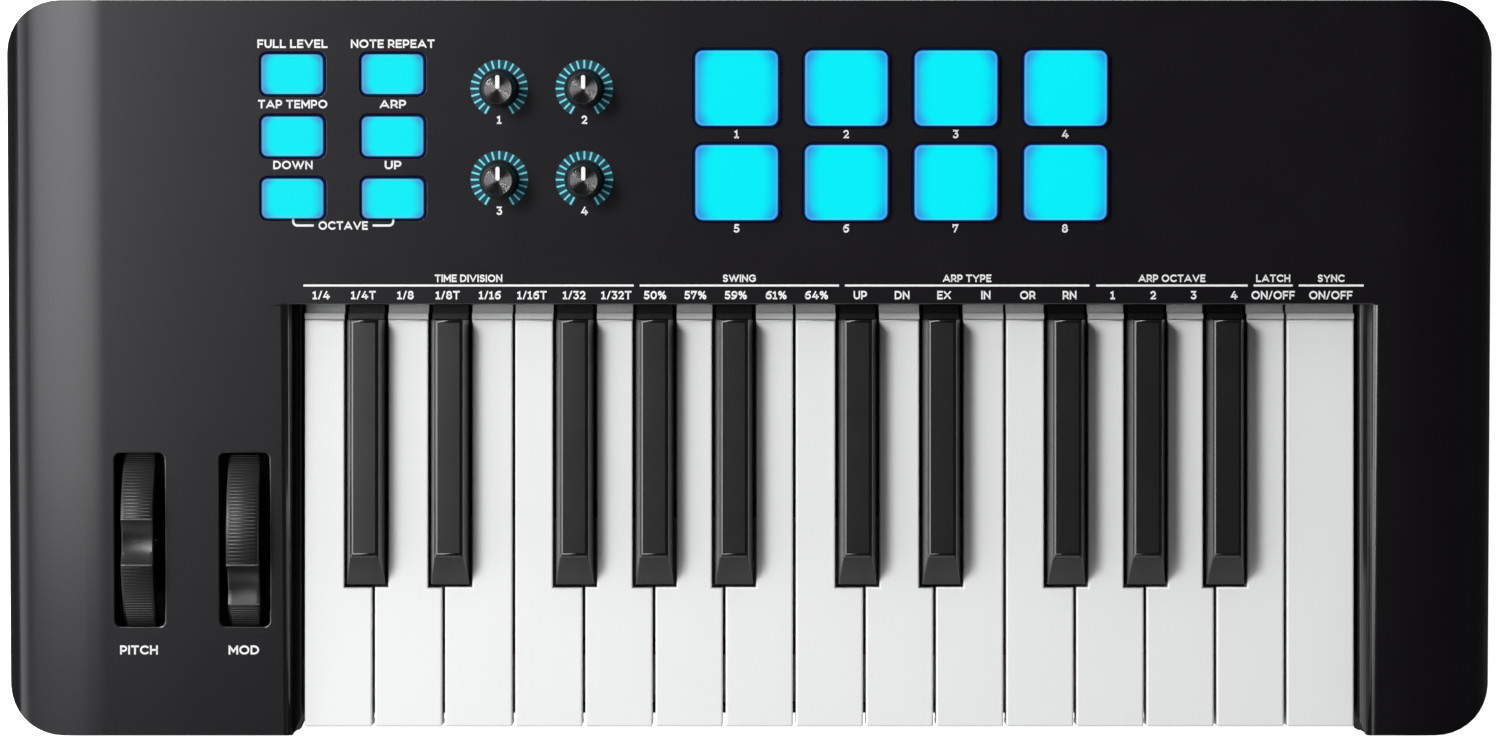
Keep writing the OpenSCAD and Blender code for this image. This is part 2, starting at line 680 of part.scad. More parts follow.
// ---------- controls ----------

function pad_at(i) = [pad_x + (i % 4) * pad_pitch_x, pad_y - floor(i / 4) * pad_pitch_y];
function button_at(i) = [button_x + (i % 2) * button_pitch_x, button_y - floor(i / 2) * button_pitch_y];
function knob_at(i) = [knob_x + (i % 2) * knob_pitch_x, knob_y - floor(i / 2) * knob_pitch_y];

// Cap that stands through the panel, with a collar under it
module panel_cap(w, d, r, rise, foot) {
    translate([0, 0, -foot]) linear_extrude(height = foot + rise) polygon(round_rect(w, d, r));
    translate([0, 0, -foot]) linear_extrude(height = foot - wall - stop_gap)
        polygon(round_rect(w + 2 * flange, d + 2 * flange, r));
}

module pad(i) {
    color("#12dcf4") on_panel(pad_at(i)[0], pad_at(i)[1])
        panel_cap(pad_w, pad_d, pad_corner, pad_rise, pad_foot);
}

module button(i) {
    color("#1cd6f2") on_panel(button_at(i)[0], button_at(i)[1])
        panel_cap(button_w, button_d, button_corner, button_rise, button_foot);
}

module knob(i) {
    on_panel(knob_at(i)[0], knob_at(i)[1]) {
        color("#2b2b2d") rotate_extrude() polygon([
            [knob_shaft_r + press_gap, knob_foot], [knob_r, knob_foot], [knob_r, 2.2], [knob_top_r + 0.3, 3.2],
            [knob_top_r, knob_h - 0.8], [knob_top_r - 0.6, knob_h], [0, knob_h], [0, knob_bore_z],
            [knob_shaft_r + press_gap, knob_bore_z]]);
        color("silver") translate([0, 0, 0.6 - board_top])
            cylinder(r = knob_shaft_r, h = board_top - 0.6 + knob_bore_z - 0.3);
    }
}

// Wheel sector about its axle, with a thumb scoop; angles count from the crown towards the player
module wheel(x, from_a, to_a, scoop_a) translate([x, axle_y, axle_z]) rotate([panel_slope, 0, 0]) {
    color("#2f2f31") {
        difference() {
            rotate([0, -90, 0]) rotate([0, 0, -to_a]) rotate_extrude(angle = to_a - from_a) union() {
                translate([hub_r - 1, -web_t / 2]) square([wheel_r - hub_r - wheel_rim + 2, web_t]);
                translate([wheel_r - wheel_rim, -wheel_w / 2]) square([wheel_rim, wheel_w]);
            }
            rotate([scoop_a, 0, 0]) translate([-wheel_w, 0, wheel_r + scoop_r - scoop_depth])
                rotate([0, 90, 0]) cylinder(r = scoop_r, h = 2 * wheel_w);
        }
        bar(-wheel_w / 2, wheel_w / 2, 0, 0, hub_r);
        bar(-axle_l, axle_l, 0, 0, axle_r);
    }
}

module pitch_wheel() wheel(wheel_x_list[0], -wheel_cover - pitch_turn, wheel_cover + pitch_turn, 0);
module mod_wheel() wheel(wheel_x_list[1], -wheel_cover, wheel_cover + mod_turn, mod_turn / 2);

module wheel_bracket() {
    half = hub_r + 3;
    color("#4a4a4d") difference() {
        union() {
            block([wheel_x_list[0] - bracket_in - bracket_t, axle_y - 20, floor_z],
                  [wheel_x_list[1] + bracket_in + bracket_t, axle_y + 20, floor_z + 2]);
            for (x = wheel_x_list, s = [-1, 1])
                block([x + s * (bracket_in + bracket_t / 2) - bracket_t / 2, axle_y - half, floor_z + 1],
                      [x + s * (bracket_in + bracket_t / 2) + bracket_t / 2, axle_y + half, axle_z + half]);
        }
        for (x = wheel_x_list) bar(x - 2 * wheel_w, x + 2 * wheel_w, axle_y, axle_z, axle_r + run_gap);
    }
}

// Four behind the knobs and one on the left end of each wheel's axle
module potentiometers() {
    color("#5b6b7a") {
        for (i = [0 : 3]) on_panel(knob_at(i)[0], knob_at(i)[1]) difference() {
            union() {
                translate([-pot_w / 2, -pot_w / 2, -board_top]) cube([pot_w, pot_w, board_top - pot_top]);
                translate([0, 0, -pot_top - eps]) cylinder(r = bush_r, h = pot_top + bush_top + eps);
            }
            translate([0, 0, 0.4 - board_top]) cylinder(r = knob_shaft_r + run_gap, h = board_top + 1);
        }
        for (x = wheel_x_list) translate([x, axle_y, axle_z])
            rotate([0, -90, 0]) translate([0, 0, bracket_in + bracket_t]) difference() {
                cylinder(r = wheel_pot_r, h = wheel_pot_t);
                translate([0, 0, -1]) cylinder(r = axle_r + run_gap, h = axle_l - bracket_in - bracket_t + 1.3);
            }
    }
}

// Panel board with its switches, and the small board behind the sockets
module circuit_boards() {
    mid = [(board_x[0] + board_x[1]) / 2, (board_y[0] + board_y[1]) / 2];
    size = [board_x[1] - board_x[0], board_y[1] - board_y[0]];
    color("#1f5c3a") {
        difference() {
            on_panel(mid[0], mid[1]) translate([-size[0] / 2, -size[1] / 2, -board_top - board_t])
                cube([size[0], size[1], board_t]);
            for (p = board_screw_at) on_panel(p[0], p[1]) translate([0, 0, -board_top - board_t - 1])
                cylinder(r = board_screw_r + 0.1, h = board_t + 2);
        }
        for (i = [0 : 5]) on_panel(button_at(i)[0], button_at(i)[1])
            translate([-switch_w / 2, -switch_w / 2, switch_seat - board_top]) cube([switch_w, switch_w, switch_h]);
        difference() {
            block([io_x[0], rear_y - io_l - 4, io_z], [io_x[1], rear_y - wall - 1, io_z + board_t]);
            for (p = io_screw_at) translate([p[0], p[1], io_z - 1]) cylinder(r = board_screw_r + 0.1, h = board_t + 2);
        }
    }
}

// ---------- sockets ----------

module usb_port() {
    y1 = rear_y - port_set;
    z0 = io_z + board_t;
    color("silver") {
        difference() {
            block([usb_x - usb_w / 2, y1 - usb_l, z0], [usb_x + usb_w / 2, y1, z0 + usb_h]);
            block([usb_x - usb_w / 2 + usb_skin, y1 - usb_l + 2, z0 + usb_skin],
                  [usb_x + usb_w / 2 - usb_skin, y1 + 1, z0 + usb_h - usb_skin]);
        }
        block([usb_x - 2.8, y1 - usb_l + 1, z0 + usb_h / 2 - 1.6], [usb_x + 2.8, y1 - 7, z0 + usb_h / 2 + 1.6]);
    }
}

module sustain_jack() {
    y1 = rear_y - port_set;
    color("#333336") difference() {
        union() {
            block([jack_x - jack_body[0] / 2, rear_y - wall - 0.5 - jack_body[1], io_z + board_t],
                  [jack_x + jack_body[0] / 2, rear_y - wall - 0.5, io_z + board_t + jack_body[2]]);
            translate([jack_x, y1, jack_z]) rotate([90, 0, 0]) cylinder(r = jack_bush_r, h = wall + 1);
        }
        translate([jack_x, y1 + 1, jack_z]) rotate([90, 0, 0]) cylinder(r = jack_r, h = 28);
    }
}

top_case();
bottom_case();
pitch_wheel();
mod_wheel();
wheel_bracket();
for (i = [1 : 4]) knob(i - 1);
button(0);  // button_full_level
button(1);  // button_note_repeat
button(2);  // button_tap_tempo
button(3);  // button_arp
button(4);  // button_octave_down
button(5);  // button_octave_up
for (i = [1 : 8]) pad(i - 1);
for (i = [1 : white_n]) white_key(i - 1);
for (i = [1 : black_n]) black_key(i - 1);
key_frame();
key_pivot_rod();
return_springs();
key_felts();
contact_board();
contact_rubber();
circuit_boards();
potentiometers();
usb_port();
sustain_jack();
rubber_feet();
case_screws();
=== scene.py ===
"""Looks of a small keyboard controller: finishes, soft edges, controls, printing and a plain studio.

Shapes are drawn in millimetres in a sub-part's own axes, then placed in the frame in metres.
"""

import json
import logging
import math
from dataclasses import dataclass
from enum import Enum
from typing import Any, Callable, Iterable, Sequence

import bmesh
import bpy
from mathutils import Matrix, Vector

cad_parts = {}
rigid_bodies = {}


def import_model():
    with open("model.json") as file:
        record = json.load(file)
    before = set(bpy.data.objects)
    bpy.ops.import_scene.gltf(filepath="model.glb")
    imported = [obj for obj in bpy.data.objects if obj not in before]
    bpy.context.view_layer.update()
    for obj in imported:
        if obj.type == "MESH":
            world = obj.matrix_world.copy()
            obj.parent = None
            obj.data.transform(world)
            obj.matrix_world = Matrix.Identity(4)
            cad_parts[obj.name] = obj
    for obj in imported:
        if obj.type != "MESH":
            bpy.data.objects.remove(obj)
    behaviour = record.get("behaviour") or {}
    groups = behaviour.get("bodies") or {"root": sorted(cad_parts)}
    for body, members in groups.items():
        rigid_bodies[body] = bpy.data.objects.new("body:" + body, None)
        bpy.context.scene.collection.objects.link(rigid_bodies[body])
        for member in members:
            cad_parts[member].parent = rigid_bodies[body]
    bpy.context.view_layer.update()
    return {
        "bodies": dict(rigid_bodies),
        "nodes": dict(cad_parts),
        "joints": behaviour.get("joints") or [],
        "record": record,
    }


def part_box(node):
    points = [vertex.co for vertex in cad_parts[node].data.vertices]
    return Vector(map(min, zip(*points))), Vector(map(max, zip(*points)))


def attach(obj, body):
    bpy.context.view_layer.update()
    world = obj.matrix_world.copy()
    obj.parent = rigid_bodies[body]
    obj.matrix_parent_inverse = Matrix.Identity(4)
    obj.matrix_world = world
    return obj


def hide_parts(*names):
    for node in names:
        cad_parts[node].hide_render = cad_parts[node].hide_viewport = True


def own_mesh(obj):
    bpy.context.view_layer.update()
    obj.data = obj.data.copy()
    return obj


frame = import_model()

log = logging.getLogger("keyboard")
MM = 0.001
SCALE = Matrix.Scale(MM, 4)
Colour = tuple[float, float, float]
Point = tuple[float, float, float]
Spot = tuple[float, float]
BLACK: Colour = (0.0, 0.0, 0.0)
WHITE: Colour = (1.0, 1.0, 1.0)
# Share of a direction that runs along an axis: near 1 for an edge along it, low for one across it.
ALONG = 0.9
ACROSS = 0.5


# ---------- node writing ----------


class Number:
    """A number socket whose operators add Math nodes to the tree that it belongs to."""

    def __init__(self, writer: "NodeWriter", socket: bpy.types.NodeSocket) -> None:
        """Wraps a socket.

        Args:
            writer: the tree's writer, which adds the nodes.
            socket: the output socket that holds the number.
        """
        self.writer = writer
        self.socket = socket

    def math(self, operation: str, *values: Any) -> "Number":
        """Adds one Math node and returns its result."""
        return self.writer.number("ShaderNodeMath", {"operation": operation}, dict(enumerate(values)))

    def __add__(self, other: Any) -> "Number":
        """Sum."""
        return self.math("ADD", self, other)

    __radd__ = __add__

    def __sub__(self, other: Any) -> "Number":
        """Difference."""
        return self.math("SUBTRACT", self, other)

    def __rsub__(self, other: Any) -> "Number":
        """Difference from a plain number."""
        return self.math("SUBTRACT", other, self)

    def __mul__(self, other: Any) -> "Number":
        """Product."""
        return self.math("MULTIPLY", self, other)

    __rmul__ = __mul__

    def __truediv__(self, other: Any) -> "Number":
        """Quotient."""
        return self.math("DIVIDE", self, other)

    def __pow__(self, other: Any) -> "Number":
        """Power."""
        return self.math("POWER", self, other)

    def size(self) -> "Number":
        """Value without its sign."""
        return self.math("ABSOLUTE", self)

    def larger(self, other: Any) -> "Number":
        """The larger of two values."""
        return self.math("MAXIMUM", self, other)

    def ramp(self, low: float, high: float) -> "Number":
        """Smooth step from 0 at low to 1 at high."""
        return self.writer.number("ShaderNodeMapRange", {"interpolation_type": "SMOOTHSTEP"},
                                  {"Value": self, "From Min": low, "From Max": high})


class NodeWriter:
    """Adds nodes to one tree."""

    def __init__(self, tree: bpy.types.NodeTree) -> None:
        """Starts with an empty tree."""
        self.tree = tree
        self.tree.nodes.clear()

    def node(self, kind: str, settings: dict[str, Any] | None = None,
             inputs: dict[Any, Any] | None = None) -> bpy.types.Node:
        """Adds a node.

        Args:
            kind: the node's type.
            settings: its properties.
            inputs: values or links by socket name or number.

        Returns:
            The new node.
        """
        made = self.tree.nodes.new(kind)
        for key, value in (settings or {}).items():
            setattr(made, key, value)
        for key, value in (inputs or {}).items():
            self.feed(made.inputs[key], value)
        return made

    def number(self, kind: str, settings: dict[str, Any] | None = None,
               inputs: dict[Any, Any] | None = None) -> Number:
        """Adds a node and wraps its first output."""
        return Number(self, self.node(kind, settings, inputs).outputs[0])

    def feed(self, socket: bpy.types.NodeSocket, value: Any) -> None:
        """Links a socket or sets its value, with alpha 1 added to a colour.

        Args:
            socket: the input socket.
            value: a Number, an output socket or a plain value.
        """
        source = getattr(value, "socket", value)
        if isinstance(source, bpy.types.NodeSocket):
            self.tree.links.new(source, socket)
        elif socket.type == "RGBA" and len(source) == 3:
            socket.default_value = (*source, 1.0)
        else:
            socket.default_value = source


class Shader(NodeWriter):
    """Writes one material."""

    def __init__(self, name: str) -> None:
        """Makes the material and empties its tree.

        Args:
            name: what the material is called.
        """
        self.material = bpy.data.materials.new(name)
        self.material.use_nodes = True
        super().__init__(self.material.node_tree)
        self.place = self.node("ShaderNodeTexCoord").outputs["Object"]

    def noise(self, size: float, detail: float = 2.0, stretch: Point = (1.0, 1.0, 1.0)) -> Number:
        """Noise with features of about `size` millimetres, drawn out by `stretch`.

        Args:
            size: how large the features are.
            detail: how many finer layers it has.
            stretch: scale along each axis before the noise.

        Returns:
            The noise, from 0 to 1.
        """
        place = self.place
        if stretch != (1.0, 1.0, 1.0):
            mapping = self.node("ShaderNodeMapping", None, {"Vector": place, "Scale": stretch})
            place = mapping.outputs[0]
        return self.number("ShaderNodeTexNoise", None,
                           {"Vector": place, "Scale": 1 / (size * MM), "Detail": detail})

    def mix(self, factor: Any, low: Any, high: Any) -> bpy.types.NodeSocket:
        """Colour between low and high."""
        made = self.node("ShaderNodeMix", {"data_type": "RGBA"}, {0: factor, 6: low, 7: high})
        return made.outputs[2]

    def bump(self, height: Number, depth: float) -> bpy.types.NodeSocket:
        """Normal for a height from 0 to 1 over `depth` millimetres."""
        return self.node("ShaderNodeBump", None, {"Height": height, "Distance": depth * MM}).outputs[0]

    def surface(self, sockets: dict[str, Any]) -> bpy.types.Material:
        """Ends the tree in a Principled BSDF with these sockets.

        Args:
            sockets: values or links by socket name.

        Returns:
            The finished material.
        """
        shader = self.node("ShaderNodeBsdfPrincipled", None, sockets)
        self.node("ShaderNodeOutputMaterial", None, {"Surface": shader.outputs[0]})
        return self.material


# ---------- finishes ----------


def screen(red: int, green: int, blue: int) -> Colour:
    """Linear colour of a screen colour in steps of 255."""
    shares = (red / 255, green / 255, blue / 255)
    return tuple(((v + 0.055) / 1.055) ** 2.4 if v > 10 / 255 else v / 12.92 for v in shares)


@dataclass(frozen=True)
class Moulding:
    """Moulded plastic or rubber, with a faint mottle and the fine grain of its mould."""

    name: str
    colour: Colour
    roughness: float = 0.5
    specular: float = 0.5
    grain_size: float = 0.35
    grain_depth: float = 0.01
    mottle: float = 0.1
    tint: Colour = (1.0, 1.0, 1.0)
    gloss: float = 0.0
    gloss_roughness: float = 0.18
    mottle_size: float = 18.0

    def build(self) -> bpy.types.Material:
        """Makes the material.

        Returns:
            The finished material.
        """
        shader = Shader(self.name)
        grain = shader.noise(self.grain_size, 3.0)
        cloud = shader.noise(self.mottle_size, 3.0)
        dark = tuple(c * (1 - self.mottle) for c in self.colour)
        light = tuple(min(1.0, c * (1 + self.mottle)) for c in self.colour)
        return shader.surface({
            "Base Color": shader.mix(cloud * 0.6 + grain * 0.4, dark, light),
            "Roughness": self.roughness + (grain - 0.5) * 0.12 + (cloud - 0.5) * 0.06,
            "Specular IOR Level": self.specular,
            "Specular Tint": self.tint,
            "Coat Weight": self.gloss,
            "Coat Roughness": self.gloss_roughness,
            "Normal": shader.bump(grain, self.grain_depth),
        })


@dataclass(frozen=True)
class Metal:
    """Plated or drawn metal with fine lines along one axis."""

    name: str
    colour: Colour
    roughness: float = 0.3
    lines: Point = (1.0, 12.0, 12.0)
    wear: float = 1.0

    def build(self) -> bpy.types.Material:
        """Makes the material.

        Returns:
            The finished material.
        """
        shader = Shader(self.name)
        line = shader.noise(1.2, 4.0, self.lines)
        stain = shader.noise(6.0, 3.0)
        dark = tuple(c * (1 - 0.2 * self.wear) for c in self.colour)
        return shader.surface({
            "Base Color": shader.mix(stain, dark, self.colour),
            "Metallic": 1.0,
            "Roughness": self.roughness + (line - 0.5) * 0.2 * self.wear,
            "Normal": shader.bump(line, 0.004 * self.wear),
        })


@dataclass(frozen=True)
class LitCap:
    """Translucent cap with a lamp behind it: bright in the middle, deeper blue towards its rim."""

    name: str
    core: Colour
    shade: Colour
    corner: Colour
    dusk: Colour
    rim: Colour
    edge: Colour
    reach: float
    strength: float = 0.94
    # Where each tone begins and where it is full, as shares of the way from the middle to the edge.
    sides: Spot = (0.15, 1.0)
    ends: Spot = (0.45, 1.1)
    corners: Spot = (0.38, 0.92)
    left: Spot = (0.6, 1.0)
    # The same in millimetres from the edge.
    line_starts: Spot = (0.25, 0.5)
    line_ends: Spot = (0.75, 1.05)
    edge_ends: Spot = (0.0, 0.3)

    def build(self) -> bpy.types.Material:
        """Makes the material, which reads the cap's own map and its distance from the edge in mm.

        Returns:
            The finished material.
        """
        shader = Shader(self.name)
        chart = shader.node("ShaderNodeUVMap", {"uv_map": "cap"})
        split = shader.node("ShaderNodeSeparateXYZ", None, {0: chart.outputs[0]})
        left, up = (1 - Number(shader, split.outputs[i]) * 2 for i in (0, 1))
        x, y = left.size(), up.size()
        inset = shader.number("ShaderNodeAttribute", {"attribute_name": "inset"})
        inset = Number(shader, inset.socket.node.outputs["Fac"])
        cloud = shader.noise(5.0, 2.0)
        sides = (x ** 3 + (cloud - 0.5) * 0.12).ramp(*self.sides) * 0.85
        glow = shader.mix(sides.larger((y ** 4).ramp(*self.ends) * 0.3), self.core, self.shade)
        glow = shader.mix((x * y).ramp(*self.corners) * 0.85, glow, self.corner)
        glow = shader.mix(left.ramp(*self.left) * (1 - inset.ramp(0.8, self.reach)) * 0.35, glow, self.dusk)
        line = inset.ramp(*self.line_starts) * (1 - inset.ramp(*self.line_ends))
        glow = shader.mix(line * 0.4, glow, self.rim)
        glow = shader.mix(1 - inset.ramp(*self.edge_ends), glow, self.edge)
        grain = shader.noise(0.5, 2.0)
        return shader.surface({
            "Base Color": (0.0, 0.0, 0.002),
            "Roughness": 0.5 + grain * 0.1,
            "Specular IOR Level": 0.05,
            "Emission Color": glow,
            "Emission Strength": self.strength,
            "Normal": shader.bump(grain, 0.006),
        })


@dataclass(frozen=True)
class Ink:
    """Printed ink, a little uneven where it was pressed on."""

    name: str
    colour: Colour
    shade: float = 0.9

    def build(self) -> bpy.types.Material:
        """Makes the material.

        Returns:
            The finished material.
        """
        shader = Shader(self.name)
        patch = shader.noise(0.8, 3.0)
        dark = tuple(c * self.shade for c in self.colour)
        return shader.surface({
            "Base Color": shader.mix(patch, dark, self.colour),
            "Roughness": 0.5 + (patch - 0.5) * 0.2,
            "Specular IOR Level": 0.3,
            "Normal": shader.bump(patch, 0.004),
        })


@dataclass(frozen=True)
class Felt:
    """Pressed wool felt."""

    name: str
    colour: Colour

    def build(self) -> bpy.types.Material:
        """Makes the material.

        Returns:
            The finished material.
        """
        shader = Shader(self.name)
        fibre = shader.noise(0.5, 5.0, (1.0, 3.0, 3.0))
        tuft = shader.noise(3.0, 4.0)
        dark = tuple(c * 0.6 for c in self.colour)
        return shader.surface({
            "Base Color": shader.mix(fibre * 0.6 + tuft * 0.4, dark, self.colour),
            "Roughness": 0.92,
            "Sheen Weight": 0.4,
            "Normal": shader.bump(fibre * 0.7 + tuft * 0.3, 0.15),
        })


@dataclass(frozen=True)
class SolderMask:
    """Green circuit board with copper tracks under its lacquer."""

    name: str
    colour: Colour
    track: Colour

    def build(self) -> bpy.types.Material:
        """Makes the material.

        Returns:
            The finished material.
        """
        shader = Shader(self.name)
        weave = shader.noise(0.6, 2.0)
        tracks = shader.number("ShaderNodeTexBrick", {"offset": 0.37, "squash": 2.0, "squash_frequency": 3},
                               {"Vector": shader.place, "Scale": 60.0, "Mortar Size": 0.012,
                                "Mortar Smooth": 0.2, "Brick Width": 0.9, "Row Height": 0.16,
                                "Color1": BLACK, "Color2": BLACK, "Mortar": WHITE})
        dark = tuple(c * 0.75 for c in self.colour)
        ground = shader.mix(weave, dark, self.colour)
        return shader.surface({
            "Base Color": shader.mix(tracks, ground, self.track),
            "Roughness": 0.35 + weave * 0.15,
            "Normal": shader.bump(tracks, 0.03),
        })


@dataclass(frozen=True)
class Finishes:
    """Every finish on the keyboard, by the part that it covers."""

    case: Moulding = Moulding("case_black", (0.0046, 0.0037, 0.0048), 0.34, 0.28, 0.4, 0.015, 0.12,
                              (0.97, 0.95, 1.0), 0.4)
    case_edge: Moulding = Moulding("case_edge_polished", (0.006, 0.0055, 0.006), 0.22, 1.0, 0.4, 0.004, 0.12)
    base: Moulding = Moulding("base_black", (0.012, 0.012, 0.013), 0.6, 0.4, 0.6, 0.03, 0.12)
    white_key: Moulding = Moulding("key_white", (0.83, 0.835, 0.84), 0.34, 0.45, 0.8, 0.004, 0.012)
    black_key: Moulding = Moulding("key_black", (0.0065, 0.006, 0.0068), 0.33, 0.65, 0.5, 0.006, 0.1)
    black_edge: Moulding = Moulding("key_black_edge", (0.0065, 0.006, 0.0068), 0.18, 0.9, 0.5, 0.003, 0.1)
    wheel: Moulding = Moulding("wheel_black", (0.0065, 0.0065, 0.007), 0.4, 0.5, 0.3, 0.012, 0.12)
    notch: Moulding = Moulding("wheel_gloss", (0.007, 0.0066, 0.0068), 0.4, 0.55, 0.5, 0.003, 0.08)
    knob: Moulding = Moulding("knob_black", (0.0045, 0.0045, 0.005), 0.4, 0.5, 0.4, 0.006, 0.1)
    spun: Metal = Metal("knob_spun_top", (0.14, 0.135, 0.14), 0.17, (1.0, 1.0, 1.0), 0.15)
    pad: LitCap = LitCap("pad_lit", screen(0, 240, 250), screen(12, 170, 236), screen(36, 138, 228),
                         screen(92, 130, 222), screen(96, 206, 242), screen(8, 24, 74), 4.0, 0.99)
    button: LitCap = LitCap("button_lit", screen(14, 240, 248), screen(48, 160, 220), screen(62, 118, 200),
                            screen(110, 140, 214), screen(118, 182, 226), screen(10, 24, 70), 3.2, 0.98)
    legend: Ink = Ink("legend_ink", (0.86, 0.86, 0.87))
    tick: Ink = Ink("scale_tick_ink", screen(112, 214, 222))
    band: Ink = Ink("scale_band_ink", screen(0, 62, 82), 0.75)
    frame: Moulding = Moulding("frame_natural", (0.62, 0.57, 0.48), 0.5, 0.5, 0.6, 0.02, 0.08)
    # Partly painted shade: black plastic made darker and duller than the case's, so the slots round the
    # wheels, where the bracket shows, stay dark.
    bracket: Moulding = Moulding("bracket_black", (0.003, 0.003, 0.0032), 0.85, 0.08, 0.6, 0.02, 0.1)
    # Painted highlight: light grey on the beads at a wheel's notch, so they show as bright lines.
    lip: Moulding = Moulding("wheel_lip", (0.06, 0.06, 0.062), 0.35, 0.8, 0.3, 0.004, 0.12)
    pot: Moulding = Moulding("pot_body", (0.008, 0.008, 0.008), 0.75, 0.1, 0.5, 0.02, 0.1)
    steel: Metal = Metal("plated_steel", (0.62, 0.62, 0.64), 0.28)
    felt: Felt = Felt("stop_felt", (0.35, 0.04, 0.05))
    board: SolderMask = SolderMask("solder_mask", (0.02, 0.16, 0.07), (0.05, 0.28, 0.12))
    dome: Moulding = Moulding("contact_silicone", (0.42, 0.42, 0.41), 0.6, 0.3, 0.5, 0.01, 0.08)
    socket: Moulding = Moulding("socket_black", (0.03, 0.03, 0.032), 0.4, 0.5, 0.5, 0.01, 0.1)
    foot: Moulding = Moulding("foot_rubber", (0.035, 0.035, 0.036), 0.8, 0.3, 0.7, 0.04, 0.12)


class Palette:
    """Builds each finish once, when a piece first asks for it."""

    def __init__(self) -> None:
        """Starts with no material built."""
        self.finishes = Finishes()
        self.built: dict[str, bpy.types.Material] = {}

    def __getattr__(self, part: str) -> bpy.types.Material:
        """The material of one part's finish.

        Args:
            part: the finish's name in Finishes.

        Returns:
            Its material.
        """
        finish = getattr(self.finishes, part)
        if finish.name not in self.built:
            self.built[finish.name] = finish.build()
        return self.built[finish.name]


# ---------- shapes ----------


def rounded_ring(width: float, depth: float, radius: float, z: float, steps: int = 6) -> list[Point]:
    """Points round a rectangle with round corners, centred, at height z.

    Args:
        width: its size along x.
        depth: its size along y.
        radius: radius of its corners.
        z: its height.
        steps: how many stretches each corner has.

    Returns:
        The points, counterclockwise from the right.
    """
    radius = max(0.02, min(radius, width / 2 - 0.01, depth / 2 - 0.01))
    points = []
    for quarter, (sx, sy) in enumerate(((1, 1), (-1, 1), (-1, -1), (1, -1))):
        for i in range(steps + 1):
            angle = math.radians(90 * (quarter + i / steps))
            points.append((sx * (width / 2 - radius) + radius * math.cos(angle),
                           sy * (depth / 2 - radius) + radius * math.sin(angle), z))
    return points


